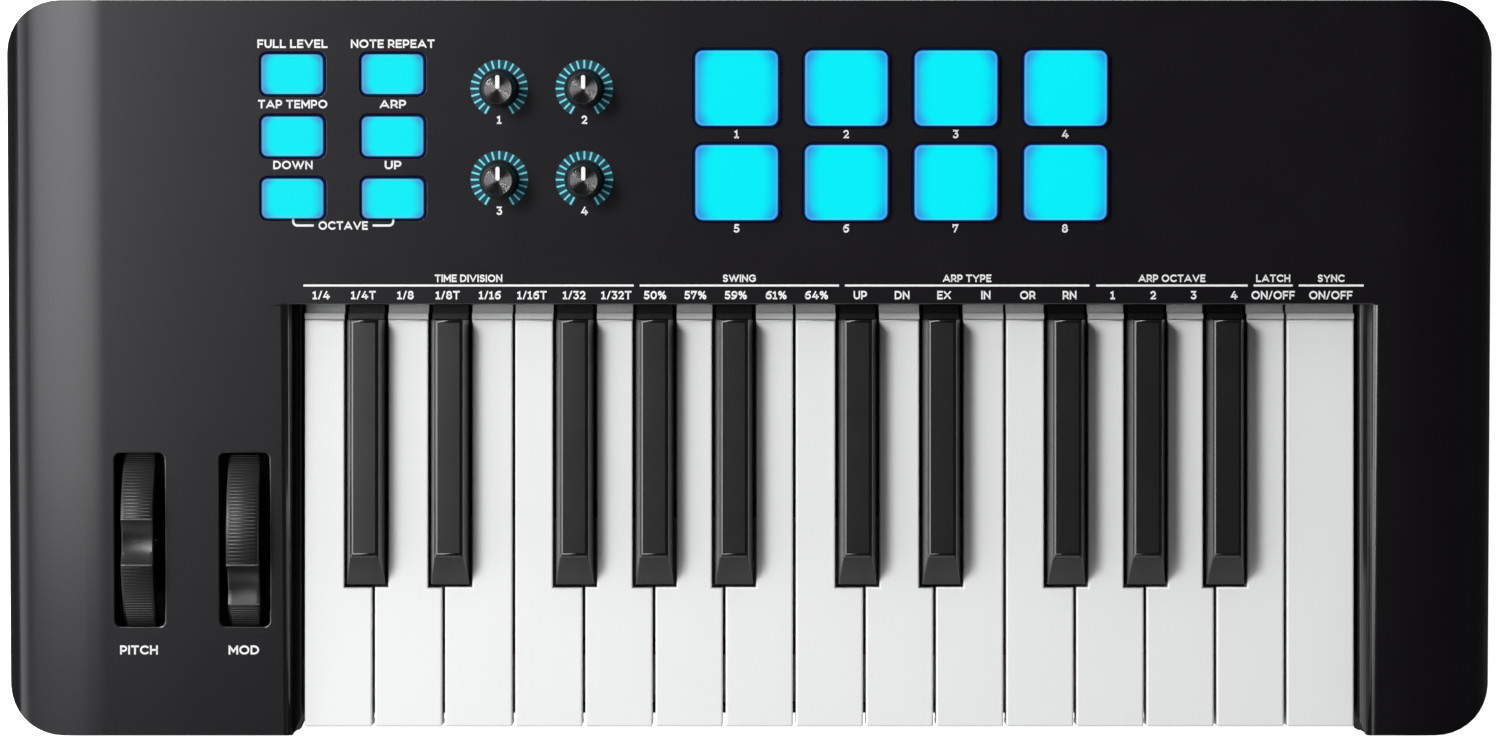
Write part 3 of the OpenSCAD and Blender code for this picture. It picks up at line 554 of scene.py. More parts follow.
class Shape:
    """A mesh in the making, in millimetres."""

    def __init__(self) -> None:
        """Starts empty, with a layer for the distance from a cap's edge."""
        self.bm = bmesh.new()
        self.inset = self.bm.verts.layers.float.new("inset")

    def skin(self, rings: Sequence[Sequence[Point]], loop: bool = False,
             insets: Sequence[float] | None = None) -> "Shape":
        """Joins rings of equally many points into one closed surface.

        Args:
            rings: the rings in order.
            loop: whether the last ring joins the first; otherwise both ends are capped.
            insets: each ring's distance from the edge, for its layer.

        Returns:
            This shape.
        """
        rows = [[self.bm.verts.new(p) for p in ring] for ring in rings]
        for row, inset in zip(rows, insets or []):
            for vert in row:
                vert[self.inset] = inset
        count = len(rows[0])
        for low, high in zip(rows, rows[1:] + (rows[:1] if loop else [])):
            for i in range(count):
                j = (i + 1) % count
                self.bm.faces.new((low[i], low[j], high[j], high[i]))
        if not loop:
            self.bm.faces.new(rows[0][::-1])
            self.bm.faces.new(rows[-1])
        return self

    def lathe(self, profile: Sequence[tuple[float, float]], steps: int = 48, loop: bool = False) -> "Shape":
        """Turns a profile of radius and height about Z.

        Args:
            profile: the points of the profile.
            steps: how many stretches the round has.
            loop: whether the profile closes on itself.

        Returns:
            This shape.
        """
        turn = [math.tau * i / steps for i in range(steps)]
        return self.skin([[(max(r, 0.0) * math.cos(a), max(r, 0.0) * math.sin(a), z) for a in turn]
                          for r, z in profile], loop)

    def slab(self, low: Point, high: Point, radius: float = 0.0) -> "Shape":
        """Adds a block between two corners, its upright edges rounded by `radius`.

        Args:
            low: the lowest corner.
            high: the highest corner.
            radius: radius of its upright edges.

        Returns:
            This shape.
        """
        centre = [(a + b) / 2 for a, b in zip(low, high)]
        size = [b - a for a, b in zip(low, high)]
        rings = []
        for height in (low[2], high[2]):
            ring = rounded_ring(size[0], size[1], radius, height, 3)
            rings.append([(x + centre[0], y + centre[1], z) for x, y, z in ring])
        return self.skin(rings)

    def stroke(self, path: Sequence[Spot], width: float, heights: tuple[float, float], cap: float = 0.0,
               limits: tuple[float, float] = (-1e6, 1e6)) -> "Shape":
        """Adds a band of even width along a path, mitred at its corners.

        Args:
            path: the middle line; it closes when its ends meet.
            width: width of the band.
            heights: height of its lower and its upper side.
            cap: how far each open end runs on.
            limits: lowest and highest y that it may reach.

        Returns:
            This shape.
        """
        spots = [Vector(p) for p in path]
        closed = (spots[0] - spots[-1]).length < 1e-6
        if closed:
            spots.pop()
        else:
            first, last = (spots[0] - spots[1]).normalized(), (spots[-1] - spots[-2]).normalized()
            spots[0], spots[-1] = spots[0] + first * cap, spots[-1] + last * cap
        low, high = heights
        rings = []
        for i, spot in enumerate(spots):
            back = spots[i - 1] if closed or i else None
            ahead = spots[(i + 1) % len(spots)] if closed or i < len(spots) - 1 else None
            ways = [(b - a).normalized() for a, b in ((back, spot), (spot, ahead)) if a and b]
            sides = [Vector((-way.y, way.x)) for way in ways]
            side = sum(sides, Vector((0.0, 0.0))).normalized()
            side *= width / 2 / max(0.55, side.dot(sides[0]))
            edges = [(spot.x + side.x * t, min(max(spot.y + side.y * t, limits[0]), limits[1]))
                     for t in (-1, 1)]
            rings.append([(*edges[0], low), (*edges[1], low), (*edges[1], high), (*edges[0], high)])
        return self.skin(rings, closed)

    def moved(self, matrix: Matrix) -> "Shape":
        """Moves everything drawn so far."""
        self.bm.transform(matrix)
        return self

    def mesh(self, name: str, place: Matrix, smooth: float = 35.0) -> bpy.types.Mesh:
        """Finishes the shape.

        Args:
            name: the mesh's name.
            place: where its axes stand in the frame, in metres, without scale.
            smooth: edges that turn by less than this many degrees look round.

        Returns:
            A mesh in metres with outward faces.
        """
        bmesh.ops.remove_doubles(self.bm, verts=self.bm.verts, dist=1e-4)
        bmesh.ops.recalc_face_normals(self.bm, faces=self.bm.faces)
        self.bm.transform(place @ SCALE)
        made = bpy.data.meshes.new(name)
        self.bm.to_mesh(made)
        self.bm.free()
        return smoothed(made, smooth)


def smoothed(mesh: bpy.types.Mesh, angle: float) -> bpy.types.Mesh:
    """Shades a mesh smooth, apart from edges that turn by more than `angle` degrees.

    Args:
        mesh: the mesh, which changes.
        angle: the turn that stays sharp.

    Returns:
        The same mesh.
    """
    mesh.polygons.foreach_set("use_smooth", [True] * len(mesh.polygons))
    mesh.set_sharp_from_angle(angle=math.radians(angle))
    return mesh


def linked(name: str, data: bpy.types.ID) -> bpy.types.Object:
    """Puts a new object in the scene.

    Args:
        name: what it is called.
        data: the mesh, lamp or camera that it shows.

    Returns:
        The object.
    """
    made = bpy.data.objects.new(name, data)
    bpy.context.scene.collection.objects.link(made)
    return made


def span(points: Sequence[Vector]) -> tuple[Vector, Vector]:
    """Lowest and highest corner of the box round some points."""
    return (Vector([min(p[i] for p in points) for i in range(3)]),
            Vector([max(p[i] for p in points) for i in range(3)]))


def evaluated(mesh: bpy.types.Mesh, dress: Callable[[bpy.types.Object], None]) -> bpy.types.Mesh:
    """A plain mesh of what a mesh becomes under the modifiers that `dress` adds.

    Args:
        mesh: the mesh to start from.
        dress: adds the modifiers to an object.

    Returns:
        A new mesh.
    """
    stand = linked(mesh.name, mesh)
    dress(stand)
    graph = bpy.context.evaluated_depsgraph_get()
    made = bpy.data.meshes.new_from_object(stand.evaluated_get(graph), preserve_all_data_layers=True,
                                           depsgraph=graph)
    bpy.data.objects.remove(stand)
    return made


def weight_normals(stand: bpy.types.Object) -> None:
    """Keeps flat faces flat beside soft edges."""
    modifier = stand.modifiers.new("flat_faces", "WEIGHTED_NORMAL")
    modifier.keep_sharp = True


@dataclass(frozen=True)
class Rounding:
    """A radius in mm, which sharp edges of a CAD node get it, and whether it is polished by touch.

    A blunt one ends squarely, `stop` mm short of the rear end of its edges.
    """

    radius: float
    picks: Callable[[Vector, Vector], bool]
    steps: int = 3
    polished: bool = False
    blunt: bool = False
    stop: float = 0.3
    least_turn: float = 35.0

    def edges(self, bm: bmesh.types.BMesh) -> list[bmesh.types.BMEdge]:
        """Sharp convex edges of a mesh that it rounds.

        Args:
            bm: the mesh, in millimetres.

        Returns:
            The edges.
        """
        chosen = []
        for edge in bm.edges:
            if len(edge.link_faces) != 2 or edge.calc_face_angle_signed(0.0) < math.radians(self.least_turn):
                continue
            a, b = (v.co for v in edge.verts)
            if self.picks((a + b) / 2, (b - a).normalized()):
                chosen.append(edge)
        return chosen

    def apply(self, bm: bmesh.types.BMesh) -> None:
        """Rounds its edges of a mesh in millimetres.

        Args:
            bm: the mesh, which changes.
        """
        chosen = self.edges(bm)
        if self.blunt and chosen:
            end = max(v.co.y for edge in chosen for v in edge.verts) - self.stop
            everything = [*bm.verts, *bm.edges, *bm.faces]
            bmesh.ops.bisect_plane(bm, geom=everything, dist=1e-4, plane_co=(0, end, 0), plane_no=(0, 1, 0))
            chosen = [edge for edge in self.edges(bm) if sum(v.co.y for v in edge.verts) / 2 < end]
        if chosen:
            bmesh.ops.bevel(bm, geom=chosen, offset=self.radius, offset_type="OFFSET", segments=self.steps,
                            profile=0.5, affect="EDGES", clamp_overlap=False,
                            material=1 if self.polished else -1)


def softened(node: str, roundings: Sequence[Rounding], smooth: float = 35.0) -> bpy.types.Mesh:
    """Copies a CAD node's mesh and rounds some of its convex edges.

    Args:
        node: the CAD node.
        roundings: each takes an edge's middle and direction, in millimetres, and says whether to round it.
        smooth: edges that turn by less than this many degrees look round.

    Returns:
        A new mesh in the frame.
    """
    bm = bmesh.new()
    bm.from_mesh(frame["nodes"][node].data)
    bm.transform(Matrix.Scale(1 / MM, 4))
    bmesh.ops.remove_doubles(bm, verts=bm.verts, dist=1e-3)
    bmesh.ops.dissolve_limit(bm, angle_limit=math.radians(0.5), verts=bm.verts, edges=bm.edges)
    for rounding in roundings:
        rounding.apply(bm)
    bmesh.ops.recalc_face_normals(bm, faces=bm.faces)
    bm.transform(SCALE)
    made = bpy.data.meshes.new(node + "_soft")
    bm.to_mesh(made)
    bm.free()
    made.materials.append(None)
    made.materials.append(None)
    return evaluated(smoothed(made, smooth), weight_normals)


# ---------- geometry nodes ----------


class Growth(NodeWriter):
    """A geometry node tree with named inputs, whose result is taken as a plain mesh."""

    KINDS = {"INT": "NodeSocketInt", "VALUE": "NodeSocketFloat", "VECTOR": "NodeSocketVector",
             "OBJECT": "NodeSocketObject", "MATERIAL": "NodeSocketMaterial"}

    def __init__(self, name: str, inputs: dict[str, str]) -> None:
        """Makes the tree.

        Args:
            name: the tree's name.
            inputs: each input's name and kind, besides the geometry that comes in.
        """
        super().__init__(bpy.data.node_groups.new(name, "GeometryNodeTree"))
        face = self.tree.interface
        face.new_socket(name="Geometry", in_out="INPUT", socket_type="NodeSocketGeometry")
        face.new_socket(name="Geometry", in_out="OUTPUT", socket_type="NodeSocketGeometry")
        for key, kind in {**inputs, "Finish": "MATERIAL"}.items():
            face.new_socket(name=key, in_out="INPUT", socket_type=self.KINDS[kind])
        self.source = self.node("NodeGroupInput")

    def given(self, key: str) -> Number:
        """One of the tree's own inputs."""
        return Number(self, self.source.outputs[key])

    def end(self, geometry: bpy.types.NodeSocket) -> "Growth":
        """Realizes the instances, sets the finish and ends the tree.

        Args:
            geometry: what the tree has made.

        Returns:
            This tree.
        """
        real = self.node("GeometryNodeRealizeInstances", None, {0: geometry})
        dressed = self.node("GeometryNodeSetMaterial", None,
                            {0: real.outputs[0], "Material": self.given("Finish")})
        self.node("NodeGroupOutput", None, {0: dressed.outputs[0]})
        return self

    def grow(self, seed: bpy.types.Mesh, values: dict[str, Any], smooth: float = 35.0) -> bpy.types.Mesh:
        """Runs the tree on a mesh.

        Args:
            seed: the mesh that comes in.
            values: a value for each of the tree's inputs.
            smooth: edges that turn by less than this many degrees look round.

        Returns:
            The plain result.
        """
        def dress(stand: bpy.types.Object) -> None:
            """Puts the tree on an object.

            Args:
                stand: the object.
            """
            modifier = stand.modifiers.new("growth", "NODES")
            modifier.node_group = self.tree
            for item in self.tree.interface.items_tree:
                if item.in_out == "INPUT" and item.name in values:
                    modifier[item.identifier] = values[item.name]
        return smoothed(evaluated(seed, dress), smooth)


def arc_growth() -> Growth:
    """Repeats the incoming piece round Z, from one angle to another, clockwise from +Y.

    Returns:
        The tree.
    """
    tree = Growth("pieces_on_an_arc", {"Count": "INT", "Radius": "VALUE", "First Angle": "VALUE",
                                       "Last Angle": "VALUE"})
    count, radius = tree.given("Count"), tree.given("Radius")
    index = tree.number("GeometryNodeInputIndex")
    first = tree.given("First Angle")
    angle = first + index * (tree.given("Last Angle") - first) / (count - 1)
    place = tree.node("ShaderNodeCombineXYZ", None, {0: radius * angle.math("SINE", angle),
                                                     1: radius * angle.math("COSINE", angle)})
    line = tree.node("GeometryNodeMeshLine", None, {"Count": count, "Offset": (0.0, 0.0, 0.0)})
    spots = tree.node("GeometryNodeSetPosition", None, {0: line.outputs[0], "Position": place.outputs[0]})
    turn = tree.node("ShaderNodeCombineXYZ", None, {2: 0 - angle})
    copies = tree.node("GeometryNodeInstanceOnPoints", None,
                       {"Points": spots.outputs[0], "Instance": tree.given("Geometry"),
                        "Rotation": turn.outputs[0]})
    return tree.end(copies.outputs[0])


def spot_growth() -> Growth:
    """Puts one piece at every point of the incoming mesh, all turned alike.

    Returns:
        The tree.
    """
    tree = Growth("pieces_on_spots", {"Piece": "OBJECT", "Turn": "VECTOR"})
    piece = tree.node("GeometryNodeObjectInfo", None, {"Object": tree.given("Piece")})
    copies = tree.node("GeometryNodeInstanceOnPoints", None,
                       {"Points": tree.given("Geometry"), "Instance": piece.outputs["Geometry"],
                        "Rotation": tree.given("Turn")})
    return tree.end(copies.outputs[0])


def coil_growth() -> Growth:
    """Winds a coil spring upwards from the incoming mesh's own place, its wire filled at both ends.

    Returns:
        The tree.
    """
    tree = Growth("coil_spring", {"Turns": "VALUE", "Radius": "VALUE", "Height": "VALUE", "Wire": "VALUE"})
    radius, height, wire = tree.given("Radius"), tree.given("Height"), tree.given("Wire")
    spiral = tree.node("GeometryNodeCurveSpiral", None,
                       {"Resolution": 14, "Rotations": tree.given("Turns"), "Start Radius": radius,
                        "End Radius": radius, "Height": height - wire * 2})
    section = tree.node("GeometryNodeCurvePrimitiveCircle", None, {"Resolution": 6, "Radius": wire})
    tube = tree.node("GeometryNodeCurveToMesh", None,
                     {"Curve": spiral.outputs[0], "Profile Curve": section.outputs[0], "Fill Caps": True})
    lift = tree.node("ShaderNodeCombineXYZ", None, {2: wire})
    raised = tree.node("GeometryNodeTransform", None, {0: tube.outputs[0], "Translation": lift.outputs[0]})
    return tree.end(raised.outputs[0])


# ---------- the bench ----------


@dataclass(frozen=True)
class Panel:
    """The control panel's plane."""

    origin: Vector
    slope: float

    @classmethod
    def under_knobs(cls, joints: Iterable[dict[str, Any]]) -> "Panel":
        """The plane that the knobs turn on, from the first knob's joint.

        Args:
            joints: the frame's joints.

        Returns:
            The plane.
        """
        joint = next(j for j in joints if j["name"] == "knob_1_turn")
        down = Vector(joint["axis"])
        return cls(Vector(joint["pos_m"]) / MM, math.atan2(down.y, -down.z))

    @property
    def normal(self) -> Vector:
        """Direction out of the panel."""
        return Vector((0.0, -math.sin(self.slope), math.cos(self.slope)))

    def height(self, y: float) -> float:
        """Height of the surface at y, in mm."""
        return self.origin.z + (y - self.origin.y) * math.tan(self.slope)

    def place(self, x: float, y: float, lift: float = 0.0) -> Matrix:
        """Axes that stand on the panel at x and y, with +Z out of it, raised by `lift`."""
        spot = Vector((x, y, self.height(y))) + self.normal * lift
        return Matrix.Translation(spot * MM) @ Matrix.Rotation(self.slope, 4, "X")


class Bench:
    """Where meshes become pieces that ride on the frame."""

    flatness: float = 0.01

    def __init__(self, loaded: dict[str, Any]) -> None:
        """Takes what the frame holds.

        Args:
            loaded: the frame's nodes and joints.
        """
        self.nodes = loaded["nodes"]
        self.joints = {j["name"]: j for j in loaded["joints"]}
        self.panel = Panel.under_knobs(loaded["joints"])
        self.palette = Palette()
        self.on_arc = arc_growth()
        self.on_spots = spot_growth()
        self.coil = coil_growth()

    def box(self, node: str) -> tuple[Vector, Vector]:
        """A node's lowest and highest corner, in mm."""
        low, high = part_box(node)
        return low / MM, high / MM

    def pivot(self, joint: str) -> Vector:
        """A point on a joint's axis, in mm."""
        return Vector(self.joints[joint]["pos_m"]) / MM

    def corners(self, node: str) -> list[Vector]:
        """A node's vertices, in mm."""
        return [v.co / MM for v in self.nodes[node].data.vertices]

    def crown(self, node: str) -> tuple[Vector, Vector]:
        """Middle and size of the face of a node that lies highest above the panel, in mm.

        Args:
            node: the CAD node.

        Returns:
            The middle in the frame, and the size along the panel.
        """
        turn = Matrix.Rotation(-self.panel.slope, 3, "X")
        flat = [turn @ p for p in self.corners(node)]
        top = max(p.z for p in flat) - self.flatness
        face = [p for p in flat if p.z > top]
        low, high = span(face)
        return turn.inverted() @ ((low + high) / 2), high - low

    def solids(self, node: str) -> list[list[Vector]]:
        """The vertices of each separate solid in a node, in mm.

        Args:
            node: the CAD node.

        Returns:
            One list for each solid.
        """
        bm = bmesh.new()
        bm.from_mesh(self.nodes[node].data)
        bmesh.ops.remove_doubles(bm, verts=bm.verts, dist=1e-6)
        left, found = set(bm.verts), []
        for start in bm.verts:
            if start not in left:
                continue
            group, edge = [], [start]
            left.discard(start)
            while edge:
                vert = edge.pop()
                group.append(vert.co / MM)
                for link in vert.link_edges:
                    other = link.other_vert(vert)
                    if other in left:
                        left.discard(other)
                        edge.append(other)
            found.append(group)
        bm.free()
        return found

    def add(self, name: str, mesh: bpy.types.Mesh, finish: str, body: str, slot: str,
            replaces: Sequence[str] = (), edge: str = "") -> bpy.types.Object:
        """Makes a piece of a mesh that is already in the frame.

        Args:
            name: the piece's name.
            mesh: its mesh, in metres.
            finish: the palette's name of its finish.
            body: the CAD body that it rides on.
            slot: the record's material slot; not used.
            replaces: CAD nodes that it stands for.
            edge: the palette's name of the finish on its second material, if it has one.

        Returns:
            The piece.
        """
        piece = linked(name, mesh)
        marks = [min(face.material_index, 1 if edge else 0) for face in mesh.polygons]
        mesh.materials.clear()
        for part in filter(None, (finish, edge)):
            mesh.materials.append(getattr(self.palette, part))
        mesh.polygons.foreach_set("material_index", marks)
        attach(piece, body)
        if replaces:
            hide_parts(*replaces)
        log.info("%s rides on %s, %d faces", name, body, len(mesh.polygons))
        return piece

    def dress(self, node: str, finish: str) -> None:
        """Gives a CAD node that stays its finish.

        Args:
            node: the CAD node.
            finish: the palette's name of its finish.
        """
        materials = self.nodes[node].data.materials
        materials.clear()
        materials.append(getattr(self.palette, finish))
        log.info("%s keeps its own mesh", node)


# ---------- case ----------


@dataclass
class Case:
    """Both case halves, the feet and the sockets in the rear wall."""

    bench: Bench
    opening_edge: float = 0.5
    well_edge: float = 2.6
    well_reach: float = 9.0
    foot_edge: float = 0.6
    slack: float = 0.12

    def build(self) -> None:
        """Makes every piece of the case."""
        self._top()
        self._base()
        self._feet()
        self._sockets()

    def _top(self) -> None:
        """Upper half, with soft edges where hands and light meet it."""
        panel = self.bench.panel
        keys_low, _ = self.bench.box("white_key_1")
        _, keys_high = self.bench.box("white_key_15")

        def on_panel(p: Vector) -> bool:
            """Whether a point lies on the panel's surface."""
            return abs(p.z - panel.height(p.y)) < self.slack

        def beside_keys(p: Vector, d: Vector) -> bool:
            """Whether an edge is a cheek's long edge beside the keys."""
            near = min(abs(p.x - keys_low.x), abs(p.x - keys_high.x)) < self.well_reach
            return near and p.y < 0 and abs(d.y) > ALONG and on_panel(p)

        def in_panel(p: Vector, d: Vector) -> bool:
            """Whether an edge lies in the panel's surface."""
            return on_panel(p) and abs(d.z) < ACROSS

        mesh = softened("top_case", [Rounding(self.well_edge, beside_keys, 6, True, True),
                                     Rounding(self.opening_edge, in_panel, 3, True)])
        self.bench.add("upper_case", mesh, "case", "case", "case_plastic", ["top_case"], "case_edge")

    def _base(self) -> None:
        """Lower half."""
        mesh = softened("bottom_case", [])
        self.bench.add("lower_case", mesh, "base", "case", "base_plastic", ["bottom_case"])

    def _feet(self) -> None:
        """Rubber feet with a soft rim."""
        mesh = softened("rubber_feet", [Rounding(self.foot_edge, lambda p, d: p.z < 0.1, 3)])
        self.bench.add("feet", mesh, "foot", "case", "foot_rubber", ["rubber_feet"])

    def _sockets(self) -> None:
        """USB shell and pedal socket."""
        self.bench.dress("usb_port", "steel")
        self.bench.dress("sustain_jack", "socket")


# ---------- keys ----------


@dataclass
class Keys:
    """White and black keys with the edges that fingers feel."""

    bench: Bench
    white_edge: float = 0.7
    black_edge: float = 1.1
    black_corner_edge: float = 0.5
    black_height: float = 10.5
    black_nose: float = 12.0
    slack: float = 0.05

    def build(self) -> None:
        """Makes all the keys."""
        for i in range(1, 16):
            self._white(f"white_key_{i}")
        for i in range(1, 11):
            self._black(f"black_key_{i}")

    def _white(self, node: str) -> None:
        """One white key, rounded round its playing surface and its front face.

        Args:
            node: the CAD node.
        """
        low, high = self.bench.box(node)

        def picks(p: Vector, d: Vector) -> bool:
            """Whether an edge belongs to the playing surface or the front face."""
            return p.z > high.z - self.slack or p.y < low.y + self.slack

        mesh = softened(node, [Rounding(self.white_edge, picks, 3)])
        self.bench.add(node + "_cap", mesh, "white_key", node, "white_key_plastic", [node])

    def _black(self, node: str) -> None:
        """One black key, with a broad soft crown.

        Args:
            node: the CAD node.
        """
        low, high = self.bench.box(node)
        foot = high.z - self.black_height

        def crown(p: Vector, d: Vector) -> bool:
            """Whether an edge goes round the playing surface."""
            return p.z > high.z - self.slack

        def corner(p: Vector, d: Vector) -> bool:
            """Whether an edge is an upright corner at the key's nose."""
            upright = foot - 0.5 < p.z < high.z - 0.2
            return upright and p.y < low.y + self.black_nose and abs(d.x) < ACROSS

        mesh = softened(node, [Rounding(self.black_edge, crown, 4, True),
                               Rounding(self.black_corner_edge, corner, 2)])
        self.bench.add(node + "_cap", mesh, "black_key", node, "black_key_plastic", [node], "black_edge")


# ---------- controls ----------


@dataclass(frozen=True)
class CapForm:
    """Section of a lit cap from its foot to the middle of its crown."""

    foot: float
    collar: float
    collar_top: float
    corner: float
    edge: float
    rim: float
    dip: float
    crown: float


@dataclass
class LitControls:
    """Pads and buttons: caps that a lamp lights from behind."""

    bench: Bench
    pad_form: CapForm = CapForm(6.5, 1.6, 3.7, 2.6, 0.75, 0.95, 0.22, 0.05)
    button_form: CapForm = CapForm(5.0, 1.6, 2.2, 2.0, 0.5, 0.8, 0.16, 0.04)
    # Behind the rim: mm inwards, and share of the dip.
    slope: tuple[Spot, ...] = ((0.0, 0.0), (0.25, 0.7), (0.7, 1.0), (1.6, 1.0))
    # The face: share of the way to the middle, share of the dip and share of the crown.
    face: tuple[Point, ...] = ((0.45, 0.8, 0.5), (0.7, 0.7, 0.8), (0.96, 0.6, 1.0))

    def build(self) -> None:
        """Makes every cap."""
        for i in range(1, 9):
            self._cap(f"pad_{i}", self.pad_form, "pad", "pad_silicone")
        for name in ("full_level", "note_repeat", "tap_tempo", "arp", "octave_down", "octave_up"):
            self._cap("button_" + name, self.button_form, "button", "button_plastic")

    def _cap(self, node: str, form: CapForm, finish: str, slot: str) -> None:
        """One cap: collar, wall, rounded edge, thin rim, and a face that dips and rises again.

        Args:
            node: the CAD node.
            form: its section.
            finish: the palette's name of its finish.
            slot: the record's slot.
        """
        panel = self.bench.panel
        middle, size = self.bench.crown(node)
        rise = (middle - panel.place(middle.x, middle.y).translation / MM).dot(panel.normal)
        width, depth = size.x, math.hypot(size.y, size.z)
        foot = middle - panel.normal * rise
        sections = [(-form.collar, -form.foot), (-form.collar, -form.collar_top), (0.0, -form.collar_top)]
        for i in range(5):
            angle = math.radians(90 * i / 4)
            sections.append((form.edge * (1 - math.cos(angle)), rise - form.edge * (1 - math.sin(angle))))
        reach = min(width, depth) / 2
        sections += [(form.rim + inwards, rise - form.dip * dip) for inwards, dip in self.slope]
        sections += [(reach * share, rise - form.dip * dip + form.crown * crown)
                     for share, dip, crown in self.face]
        rings = [rounded_ring(width - 2 * s, depth - 2 * s, form.corner - s * 0.75, z, 8)
                 for s, z in sections]
        shape = Shape().skin(rings, insets=[max(s, 0.0) for s, _ in sections])
        place = panel.place(foot.x, foot.y)
        mesh = shape.mesh(node + "_cap", place)
        self._chart(mesh, place, width, depth)
        self.bench.add(node + "_cap", mesh, finish, node, slot, [node])

    @staticmethod
    def _chart(mesh: bpy.types.Mesh, place: Matrix, width: float, depth: float) -> None:
        """Lays a map over the cap that runs from 0 to 1 across its width and depth.

        Args:
            mesh: the cap's mesh, in metres.
            place: its axes.
            width: its width, in mm.
            depth: its depth, in mm.
        """
        inverse = place.inverted()
        chart = mesh.uv_layers.new(name="cap")
        for loop in mesh.loops:
            spot = inverse @ mesh.vertices[loop.vertex_index].co / MM
            chart.data[loop.index].uv = (spot.x / width + 0.5, spot.y / depth + 0.5)


@dataclass
class Knobs:
    """Four knobs with a turned top and a white pointer, each in a printed scale."""

    bench: Bench
    foot: float = 0.5
    skirt_radius: float = 6.0
    skirt_top: float = 2.2
    waist_radius: float = 5.3
    waist: float = 3.2
    top_radius: float = 5.0
    top: float = 14.48
    chamfer: float = 0.2
    dish: float = 0.3
    groove: float = 0.36
    groove_depth: float = 0.045
    shaft_radius: float = 3.0
    shaft_foot: float = -7.2
    bore_top: float = 11.5
    pointer: Point = (1.35, 4.55, 0.2)
    tick: Point = (0.62, 2.75, 0.03)
    tick_count: int = 21
    tick_middle: float = 8.15
    sweep: float = 300.0
    band: tuple[float, float] = (6.5, 9.6)
    band_end: float = 5.0
    band_height: float = 0.015
    band_steps: int = 80

    def build(self) -> None:
        """Makes every knob and its scale."""
        for i in range(1, 5):
            spot = self.bench.pivot(f"knob_{i}_turn")
            place = self.bench.panel.place(spot.x, spot.y)
            self._knob(f"knob_{i}", place)
            self._scale(f"knob_{i}", place)

    def _knob(self, node: str, place: Matrix) -> None:
        """Cap, turned top, pointer and shaft.

        Args:
            node: the CAD node.
            place: its axes.
        """
        shaft = self.shaft_radius + 0.02
        floor = self.top - self.dish
        inner = self.top_radius - self.chamfer - 0.1
        side = [(shaft, self.foot), (self.skirt_radius - 0.2, self.foot),
                (self.skirt_radius, self.foot + 0.2), (self.skirt_radius, self.skirt_top - 0.3),
                (self.skirt_radius - 0.25, self.skirt_top),
                (self.waist_radius + 0.2, self.waist - 0.2), (self.waist_radius, self.waist + 0.2),
                (self.top_radius, self.top - self.chamfer), (self.top_radius - 0.06, self.top - 0.06),
                (self.top_radius - self.chamfer, self.top), (inner, self.top - 0.02),
                (inner, floor - 0.3), (0.0, floor - 0.3), (0.0, self.bore_top), (shaft, self.bore_top)]
        mesh = Shape().lathe(side, 64, loop=True).mesh(node + "_cap", place)
        self.bench.add(node + "_cap", mesh, "knob", node, "knob_plastic", [node])
        self._top(node, place, inner, floor)
        ends = [(self.shaft_radius, self.shaft_foot), (self.shaft_radius, self.bore_top - 0.3)]
        post = Shape().lathe(ends, 40).mesh(node + "_shaft", place)
        self.bench.add(node + "_shaft", post, "steel", node, "steel")
        self._pointer(node, place, floor)

    def _pointer(self, node: str, place: Matrix, floor: float) -> None:
        """White pointer with a soft top, from the middle outwards.

        Args:
            node: the knob's CAD node.
            place: its axes.
            floor: height of the face that it lies on.
        """
        width, length, thick = self.pointer
        soft = 0.08
        rings = []
        for inset, height in ((0.0, floor - 0.1), (0.0, floor + thick - soft), (soft, floor + thick)):
            ring = rounded_ring(width - 2 * inset, length - 2 * inset, width / 2, height)
            rings.append([(x, y + length / 2 + 0.05, z) for x, y, z in ring])
        mesh = Shape().skin(rings).mesh(node + "_pointer", place)
        self.bench.add(node + "_pointer", mesh, "legend", node, "knob_plastic")

    def _top(self, node: str, place: Matrix, radius: float, floor: float) -> None:
        """Disc with the fine grooves that a lathe leaves.

        Args:
            node: the knob's CAD node.
            place: its axes.
            radius: its radius, in mm.
            floor: height of its face.
        """
        profile = [(0.0, floor - 0.3), (radius, floor - 0.3)]
        count = int(radius / self.groove)
        for i in range(count, 0, -1):
            for step in range(4):
                wave = (1 - math.cos(math.tau * step / 4)) / 2
                profile.append((radius * (i - step / 4) / count, floor - self.groove_depth * (1 - wave)))
        profile.append((0.0, floor - self.groove_depth))
        mesh = Shape().lathe(profile, 96).mesh(node + "_top", place, 60.0)
        self.bench.add(node + "_top", mesh, "spun", node, "knob_plastic")

    def _scale(self, node: str, place: Matrix) -> None:
        """Dark band on the panel with a tick at every fifteen degrees.

        Args:
            node: the knob's CAD node.
            place: its axes.
        """
        half = math.radians(self.sweep / 2)
        edge = half + math.radians(self.band_end)
        inner, outer = self.band
        section = ((inner, -0.1), (outer, -0.1), (outer, self.band_height), (inner, self.band_height))
        rings = []
        for i in range(self.band_steps + 1):
            angle = -edge + 2 * edge * i / self.band_steps
            s, c = math.sin(angle), math.cos(angle)
            rings.append([(r * s, r * c, z) for r, z in section])
        mesh = Shape().skin(rings).mesh(node + "_scale_band", place)
        self.bench.add(node + "_scale_band", mesh, "band", "case", "case_plastic")
        width, length, thick = self.tick
        seed = Shape().slab((-width / 2, -length / 2, -0.05), (width / 2, length / 2, thick), 0.1)
        values = {"Count": self.tick_count, "Radius": self.tick_middle * MM, "First Angle": -half,
                  "Last Angle": half, "Finish": self.bench.palette.tick}
        mesh = self.bench.on_arc.grow(seed.mesh("tick", Matrix.Identity(4)), values)
        mesh.transform(place)
        self.bench.add(node + "_scale_ticks", mesh, "tick", "case", "case_plastic")


